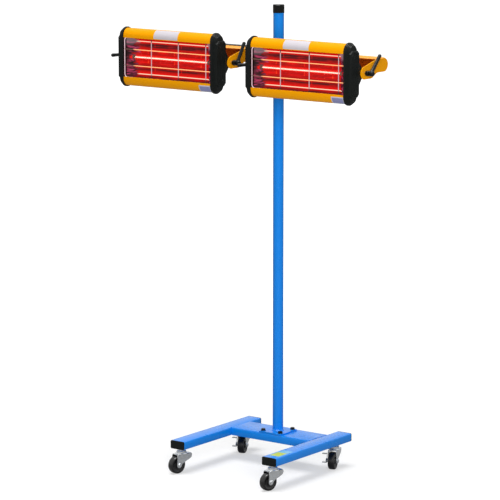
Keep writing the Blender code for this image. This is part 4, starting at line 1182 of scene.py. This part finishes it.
class LAMP_OT_bend_yokes(bpy.types.Operator):
    """Makes the yellow sheet yokes that hold the heads."""

    bl_idname = "lamp.bend_yokes"
    bl_label = "Bend the yokes"

    def execute(self, context):
        half = CHEEK_INNER + 0.5 * MM
        # The web's ends are rounded off where they meet the cheeks' rear lobes
        web = panel((-half, YOKE_LOW), (half, YOKE_TOP), [YOKE_CORNER] * 4)
        for side, _ in SIDES:
            form = bmesh.new()
            plate(form, web, WEB_BACK - YOKE_SHEET, WEB_BACK, "Y")
            for width, bottom in ((TOP_FLANGE, YOKE_TOP - YOKE_SHEET), (LOW_FLANGE, YOKE_LOW)):
                low, high = (-half, WEB_BACK - width), (half, WEB_BACK - YOKE_SHEET / 2)
                flange = panel(low, high, (YOKE_CORNER, YOKE_CORNER, 0, 0))
                plate(form, flange, bottom, bottom + YOKE_SHEET, "Z")
            # Only the faces turned to the head get the painted shade, where shade falls between
            # yoke and head
            bmesh.ops.recalc_face_normals(form, faces=form.faces)
            for face in form.faces:
                lofty = face.calc_center_median().z > YOKE_TOP - 2 * YOKE_SHEET
                shaded_side = face.normal.y < -0.9 or (lofty and face.normal.z < -0.9)
                face.material_index = int(shaded_side)
            for _, end in SIDES:
                plate(form, cheek_outline(), end * CHEEK_INNER, end * CHEEK_OUTER)
            washer = Matrix.Translation((0, WEB_BACK - 1 * MM, ROLL_AXIS[1])) @ ALONG_Y
            turned(form, in_mm(PIVOT_WASHER), washer, 48)
            piece(
                f"bracket_{side}", form, [YELLOW_COAT, SHADED_YELLOW_COAT], f"yoke_{side}",
                [f"yoke_{side}"], origin(f"tilt_{side}"), YOKE_EDGE,
            )
        return {"FINISHED"}


# Clamp levers stand where they were last tightened, in degrees back from upright
LEVER_LEAN = {
    ("left", "left"): -88,
    ("left", "right"): 31,
    ("right", "left"): -88,
    ("right", "right"): 43,
}
LEVER_START = CHEEK_OUTER + 0.3 * MM
LEVER_ARM_OUT = 25 * MM
LEVER_HUB = (
    (0, 5), (7.2, 5), (8.4, 6), (9.0, 8), (9.0, 14), (8.3, 15), (8.3, 16),
    (9.0, 17), (9.0, 32), (8.2, 34.6), (6.6, 36), (5.6, 36), (5.2, 35), (0, 35),
)
LEVER_STUD = ((4, -15.8), (4, 0), (6.4, 0), (6.4, 5.4))
# The arm, as (distance from the hub's axis, radius) in mm, up to its ball tip
LEVER_ARM = ((0, 7.4), (9, 6.8), (16, 6.2), (55, 5.9), (70, 6.4))
LEVER_BALL = (75, 6.4)
SMALL_EDGE = 0.3 * MM


def lever_stations():
    """The arm and its ball tip, as (distance, radius)."""
    middle, radius = LEVER_BALL
    ball = [
        (middle + radius * math.sin(math.radians(a)), radius * math.cos(math.radians(a)))
        for a in range(0, 91, 15)
    ]
    return [(distance * MM, max(radius, 0.05) * MM) for distance, radius in [*LEVER_ARM, *ball]]


class LAMP_OT_mould_levers(bpy.types.Operator):
    """Makes the clamp levers outside the yokes."""

    bl_idname = "lamp.mould_levers"
    bl_label = "Mould the levers"

    def execute(self, context):
        stations = lever_stations()
        for side, word, end in HEAD_ENDS:
            form = bmesh.new()
            hub = Matrix.Translation((end * LEVER_START, 0, 0)) @ ALONG_X
            turned(form, in_mm(LEVER_HUB, end), hub, 32, caps=False)
            turned(form, in_mm(LEVER_STUD, end), hub, 20, slot=1)
            lean = math.radians(LEVER_LEAN[side, word])
            root = Vector((end * (LEVER_START + LEVER_ARM_OUT), 0, 0))
            along = Vector((0, math.sin(lean), math.cos(lean)))
            path = [root + along * distance for distance, _ in stations]
            tube(form, path, [radius for _, radius in stations], sides=24)
            lever = f"lever_{side}_{word}"
            piece(
                f"clamp_{lever}", form, [POLYAMIDE, ZINC], lever,
                [lever], origin(lever), SMALL_EDGE,
            )
        return {"FINISHED"}


KNOB_THICKNESS = 14 * MM
LOBE_DEPTH = 3 * MM
INSERT_DEPTH = 0.6 * MM
STUD_RADIUS = 4 * MM
# Across a knob, as (distance from its front, inset) in mm
KNOB_RINGS = (
    (0, 9), (0, 2.4), (0.7, 0.8), (2.4, 0), (10.5, 0), (12.6, 0.9), (13.5, 2.6),
    (14.0, 5.5), (14.0, 9.5), (13.2, 10.2), (13.2, 15),
)


def star(radius, inset, depth, lobes=6, steps=72):
    """A lobed outline, drawn in by an inset, as (x, z) points."""
    points = []
    for step in range(steps):
        angle = 2 * math.pi * step / steps
        reach = radius - inset - depth * (1 - math.cos(lobes * angle)) / 2
        points.append((reach * math.cos(angle), reach * math.sin(angle)))
    return points


class LAMP_OT_mould_knobs(bpy.types.Operator):
    """Makes the lobed knobs behind the mast and the crossbar."""

    bl_idname = "lamp.mould_knobs"
    bl_label = "Mould the knobs"

    def execute(self, context):
        for node in ("height_knob", "arm_knob", "yoke_knob_left", "yoke_knob_right"):
            low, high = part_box(node)
            place = origin(node)
            face = high.y - place.y - KNOB_THICKNESS
            radius = (high.x - low.x) / 2
            form = bmesh.new()
            rings = []
            for y, inset in KNOB_RINGS:
                # The lobes flatten towards the middle, where a round insert sits
                ring = star(radius, inset * MM, LOBE_DEPTH if inset < 5 else INSERT_DEPTH)
                rings.append([(x, face + y * MM, z) for x, z in ring])
            skin(form, rings)
            tip = low.y - place.y
            # A knob whose box reaches well in front of it has a stud
            if tip < face - 1 * MM:
                stud = Matrix.Translation((0, tip, 0)) @ ALONG_Y
                reach = face - tip + 2 * MM
                turned(form, [(STUD_RADIUS, 0), (STUD_RADIUS, reach)], stud, 20, slot=1)
            piece(
                f"star_{node}", form, [POLYAMIDE, ZINC], node,
                [node], place, SMALL_EDGE,
            )
        return {"FINISHED"}


# Half of a wheel's section from its tread's middle to its bore, as (radius, height) in mm
WHEEL_HALF = (
    (31.5, 0), (31.45, 4), (31.2, 7.5), (30.5, 9.8), (29.2, 11.4), (27.6, 12),
    (25.2, 12), (24.6, 11.4), (24.4, 10.2), (22.6, 9.4), (18.5, 8.2), (14.2, 8.0),
    (12.6, 8.6), (12.0, 9.6), (11.8, 11.6), (11.2, 12), (4.5, 12),
)


class LAMP_OT_cast_wheels(bpy.types.Operator):
    """Makes the wheels with their crowned treads."""

    bl_idname = "lamp.cast_wheels"
    bl_label = "Cast the wheels"

    def execute(self, context):
        section = in_mm(WHEEL_HALF[::-1], -1) + in_mm(WHEEL_HALF[1:])
        for caster in CASTERS:
            axis = Vector(JOINTS[f"roll_{caster}"]["axis"])
            place = axis.to_track_quat("Z", "Y").to_matrix().to_4x4()
            form = bmesh.new()
            turned(form, section + section[:1], place, 56, caps=False)
            piece(
                f"tread_{caster}", form, [TREAD], f"wheel_{caster}",
                [f"wheel_{caster}"], origin(f"roll_{caster}"), smooth=30,
            )
        return {"FINISHED"}


FORK_OUTER = 16.5 * MM
FORK_SHEET = 2.5 * MM
FORK_EDGE = 0.4 * MM
AXLE_Y = -21 * MM
AXLE_Z = 31.5 * MM
AXLE_REACH = 21 * MM
RACE = (
    (22, 69.5), (22, 71), (20.5, 73), (16.5, 74), (16.5, 75), (17.2, 75.6), (17.2, 79.4),
    (16.2, 80.4), (11.5, 81), (11.5, 87.6), (6, 87.7), (6, 109),
)
AXLE_WASHER = ((8.4, 16.4), (8.4, 17.3), (7.9, 17.6))
AXLE_HEAD = ((7.2, 17.5), (7.2, 20.6), (6.3, 21.3), (3.4, 21.3), (3.0, 20.7))


def fork_outline():
    """A fork's side, from its front shoulder round the axle to its rear one, as (y, z) points."""
    points = arc((-23 * MM, 64 * MM), 6 * MM, 90, 180, 6)
    points += arc((AXLE_Y, AXLE_Z), 10 * MM, 175, 350, 18)
    rear = ((-8.5, 34), (-2, 38), (8, 42.6), (18, 46.6), (27, 50.5), (32.5, 54), (34.4, 58))
    points += [(y * MM, z * MM) for y, z in rear]
    return points + arc((29 * MM, 63.5 * MM), 6.5 * MM, 0, 90, 6)


class LAMP_OT_stamp_forks(bpy.types.Operator):
    """Makes the zinc-plated forks of the casters, with their races and axle bolts."""

    bl_idname = "lamp.stamp_forks"
    bl_label = "Stamp the forks"

    def execute(self, context):
        # The roof over the wheel, and the skirt that hangs from its rear end
        roof = panel((-FORK_OUTER, -27 * MM), (FORK_OUTER, 33 * MM), [5 * MM] * 4)
        skirt_half = FORK_OUTER - 1 * MM
        skirt = panel((-skirt_half, 57 * MM), (skirt_half, 69 * MM), (0, 0, 4 * MM, 4 * MM))
        middle = Matrix.Translation((0, AXLE_Y, AXLE_Z)) @ ALONG_X
        for caster in CASTERS:
            stem = origin(f"swivel_{caster}")
            axis = JOINTS[f"roll_{caster}"]["axis"]
            form = bmesh.new()
            for _, end in SIDES:
                plate(form, fork_outline(), end * (FORK_OUTER - FORK_SHEET), end * FORK_OUTER)
            plate(form, roof, 67.5 * MM, 70.2 * MM, "Z")
            plate(form, skirt, 31.5 * MM, 34 * MM, "Y")
            turned(form, in_mm(RACE), Matrix(), 40)
            turned(form, [(4 * MM, -AXLE_REACH), (4 * MM, AXLE_REACH)], middle, 20)
            for _, end in SIDES:
                turned(form, in_mm(AXLE_WASHER, end), middle, 28)
                turned(form, in_mm(AXLE_HEAD, end), middle, 6)
            # The fork trails the way that the model's caster does
            turn = Matrix.Rotation(math.atan2(axis[1], axis[0]), 3, "Z")
            bmesh.ops.rotate(form, verts=form.verts, cent=(0, 0, 0), matrix=turn)
            piece(
                f"cradle_{caster}", form, [ZINC], f"caster_{caster}",
                [f"fork_{caster}"], (stem.x, stem.y, 0), FORK_EDGE,
            )
        return {"FINISHED"}


# Labels, left blank

FILM_INSIDE = 0.05 * MM
FILM_OUTSIDE = 0.4 * MM


def label_strip(path, start, end):
    """A thin film over part of the shell's outside, a hair off it."""
    form = bmesh.new()
    section = beside(path, FILM_OUTSIDE) + beside(path, FILM_INSIDE)[::-1]
    plate(form, section, start, end)
    return form


LABEL_LEFT = -57 * MM
FOIL_RIGHT = HALF_SHELL - 1 * MM
# The leg's sticker and its backing: name, finish, then in mm how far its near and far ends
# are from the leg's front end, its width and its height above the leg
STICKERS = (
    ("sticker_back", STICKER_BASE, 24, 112, 44, 0.3),
    ("sticker_front", STICKER, 28, 78, 36, 0.6),
)


class LAMP_OT_stick_labels(bpy.types.Operator):
    """Puts the blank labels on the heads and the blank sticker on the leg."""

    bl_idname = "lamp.stick_labels"
    bl_label = "Stick on the labels"

    def execute(self, context):
        sizes = context.scene.lamp_sizes
        radius = SHELL_DEPTH / 2
        middle = HEAD_BACK - radius
        rise = SHELL_HEIGHT / 2 - radius
        # The label starts by the upper lip's edge, and both follow the shell's round front
        upper = [(HEAD_FRONT, LIP_EDGE + 2.5 * MM)] + arc((middle, rise), radius, 180, 108, 12)
        lower = arc((middle, -rise), radius, 250, 180, 12)
        for side, _ in SIDES:
            label = label_strip(upper, LABEL_LEFT, LABEL_LEFT + sizes.label_width)
            head_piece(side, f"label_{side}", label, [LABEL])
            foil = label_strip(lower, FOIL_RIGHT - sizes.foil_width, FOIL_RIGHT)
            head_piece(side, f"foil_{side}", foil, [FOIL])
        low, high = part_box("leg_right")
        x = (low.x + high.x) / 2
        for name, material, near, far, width, raised in STICKERS:
            # Sunk a hair into the leg, so that no light shows under it
            bottom, top = high.z - FILM_INSIDE, high.z + raised * MM
            near, far = low.y + near * MM, low.y + far * MM
            form = bmesh.new()
            outline = [(near, bottom), (far, bottom), (far, top), (near, top)]
            plate(form, outline, x - width / 2 * MM, x + width / 2 * MM)
            piece(name, form, [material], "stand")
        return {"FINISHED"}


# Studio

class LAMP_OT_place_camera(bpy.types.Operator):
    """Puts the camera where the photograph was taken from."""

    bl_idname = "lamp.place_camera"
    bl_label = "Place the camera"

    def execute(self, context):
        stage = context.scene.lamp_stage
        level = math.cos(stage.elevation)
        back = Vector((
            math.sin(stage.azimuth) * level,
            -math.cos(stage.azimuth) * level,
            math.sin(stage.elevation),
        ))
        lens = bpy.data.cameras.new("camera")
        lens.lens = stage.lens
        lens.sensor_width = 36
        lens.clip_start = 0.1
        lens.clip_end = 200
        camera = bpy.data.objects.new("camera", lens)
        camera.location = Vector(stage.target) + back * stage.distance
        camera.rotation_euler = (-back).to_track_quat("-Z", "Y").to_euler()
        context.scene.collection.objects.link(camera)
        context.scene.camera = camera
        return {"FINISHED"}


def soft_light(context, name, place, aim, size, power, mirrored=True):
    """A large square light that points at a spot, seen in reflections or not."""
    light = bpy.data.lights.new(name, "AREA")
    light.shape = "SQUARE"
    light.size = size
    light.energy = power
    obj = bpy.data.objects.new(name, light)
    obj.location = place
    obj.rotation_euler = (Vector(aim) - Vector(place)).to_track_quat("-Z", "Y").to_euler()
    obj.visible_glossy = mirrored
    context.scene.collection.objects.link(obj)


def seen_as_white(tree, light, mirrored, white):
    """How strong a white surface shines: as light, in reflections and to the camera."""
    path = add(tree, "LightPath")
    glossy, clear = path.outputs["Is Glossy Ray"], path.outputs["Is Transmission Ray"]
    mirror = add(tree, "Math", (glossy, clear), operation="MAXIMUM")
    reflected = add(tree, "MapRange", {"Value": mirror, "To Min": light, "To Max": mirrored})
    seen = {"Value": path.outputs["Is Camera Ray"], "To Min": reflected, "To Max": white}
    return add(tree, "MapRange", seen)


def white_studio(context, strength):
    """A white backdrop that gives only a little light of its own."""
    world = bpy.data.worlds.new("white studio")
    world.use_nodes = True
    context.scene.world = world
    tree = world.node_tree
    connect(tree, tree.nodes["Background"], {
        "Color": (1, 1, 1, 1),
        "Strength": seen_as_white(tree, strength, 1.0, 1.0),
    })


FLOOR_RADIUS = 60


def paper_floor(context):
    """White paper that shows as white and keeps the lamp's shadow."""
    tree, shader, place = new_finish(PAPER)
    far = add(tree, "VectorMath", (place,), operation="LENGTH")
    # The studio's light falls off with distance, and the paper stays as white
    white = add(
        tree,
        "MapRange",
        {"Value": far, "From Min": 0.8, "From Max": 3.0, "To Min": 0.5, "To Max": 1.0},
    )
    # Little light comes back up from it, so that the lamp's sides keep their depth
    camera_ray = add(tree, "LightPath").outputs["Is Camera Ray"]
    paper = add(tree, "MapRange", {"Value": camera_ray, "To Min": 0.32, "To Max": 0.5})
    connect(tree, shader, {
        "Base Color": paper,
        "Roughness": 0.9,
        "Specular IOR Level": 0.0,
        "Emission Color": (1, 1, 1, 1),
        "Emission Strength": seen_as_white(tree, 0.0, 0.05, white),
    })
    form = bmesh.new()
    bmesh.ops.create_circle(form, cap_ends=True, segments=64, radius=FLOOR_RADIUS)
    mesh = bpy.data.meshes.new("floor")
    form.to_mesh(mesh)
    form.free()
    mesh.materials.append(finish(PAPER))
    floor = bpy.data.objects.new("floor", mesh)
    context.scene.collection.objects.link(floor)


# Where each light stands, where it points and how wide it is, in metres
OVERHEAD = ((-0.8, -0.8, 16.0), (0, 0, 0), 8.0)
# In line with the camera, and high enough that no head's shadow falls on the mast
BESIDE_CAMERA = ((3.9, -4.3, 2.4), (0, 0, 0.9), 2.6)


class LAMP_OT_set_stage(bpy.types.Operator):
    """Makes the white floor, the studio's light and the view settings."""

    bl_idname = "lamp.set_stage"
    bl_label = "Set the stage"

    def execute(self, context):
        stage = context.scene.lamp_stage
        context.scene.view_settings.view_transform = "Standard"
        white_studio(context, stage.sky)
        paper_floor(context)
        soft_light(context, "overhead light", *OVERHEAD, stage.key)
        soft_light(context, "front light", *BESIDE_CAMERA, stage.fill, mirrored=False)
        return {"FINISHED"}


class LAMP_PT_panel(bpy.types.Panel):
    """Lists the lamp's settings and steps."""

    bl_idname = "LAMP_PT_panel"
    bl_label = "Curing Lamp"
    bl_space_type = "VIEW_3D"
    bl_region_type = "UI"
    bl_category = "Curing Lamp"

    def draw(self, context):
        for group in ("lamp_sizes", "lamp_colours", "lamp_stage"):
            settings = getattr(context.scene, group)
            column = self.layout.column()
            for name in settings.__annotations__:
                column.prop(settings, name)
        for step in STEPS:
            self.layout.operator(step.bl_idname)


STEPS = (
    LAMP_OT_place_camera,
    LAMP_OT_mix_finishes,
    LAMP_OT_dress_stand,
    LAMP_OT_dress_arm,
    LAMP_OT_roll_shells,
    LAMP_OT_mould_end_caps,
    LAMP_OT_press_reflectors,
    LAMP_OT_fit_heater_tubes,
    LAMP_OT_bend_guards,
    LAMP_OT_bend_yokes,
    LAMP_OT_mould_levers,
    LAMP_OT_mould_knobs,
    LAMP_OT_cast_wheels,
    LAMP_OT_stamp_forks,
    LAMP_OT_stick_labels,
    LAMP_OT_set_stage,
)
GROUPS = (LampColours, LampSizes, LampStage)


def register():
    for item in (*GROUPS, *STEPS, LAMP_PT_panel):
        bpy.utils.register_class(item)
    bpy.types.Scene.lamp_colours = PointerProperty(type=LampColours)
    bpy.types.Scene.lamp_sizes = PointerProperty(type=LampSizes)
    bpy.types.Scene.lamp_stage = PointerProperty(type=LampStage)


def unregister():
    del bpy.types.Scene.lamp_stage
    del bpy.types.Scene.lamp_sizes
    del bpy.types.Scene.lamp_colours
    for item in reversed((*GROUPS, *STEPS, LAMP_PT_panel)):
        bpy.utils.unregister_class(item)


def main():
    register()
    bpy.ops.lamp.place_camera()
    bpy.ops.lamp.mix_finishes()
    bpy.ops.lamp.dress_stand()
    bpy.ops.lamp.dress_arm()
    bpy.ops.lamp.roll_shells()
    bpy.ops.lamp.mould_end_caps()
    bpy.ops.lamp.press_reflectors()
    bpy.ops.lamp.fit_heater_tubes()
    bpy.ops.lamp.bend_guards()
    bpy.ops.lamp.bend_yokes()
    bpy.ops.lamp.mould_levers()
    bpy.ops.lamp.mould_knobs()
    bpy.ops.lamp.cast_wheels()
    bpy.ops.lamp.stamp_forks()
    bpy.ops.lamp.stick_labels()
    bpy.ops.lamp.set_stage()


if __name__ == "__main__":
    main()
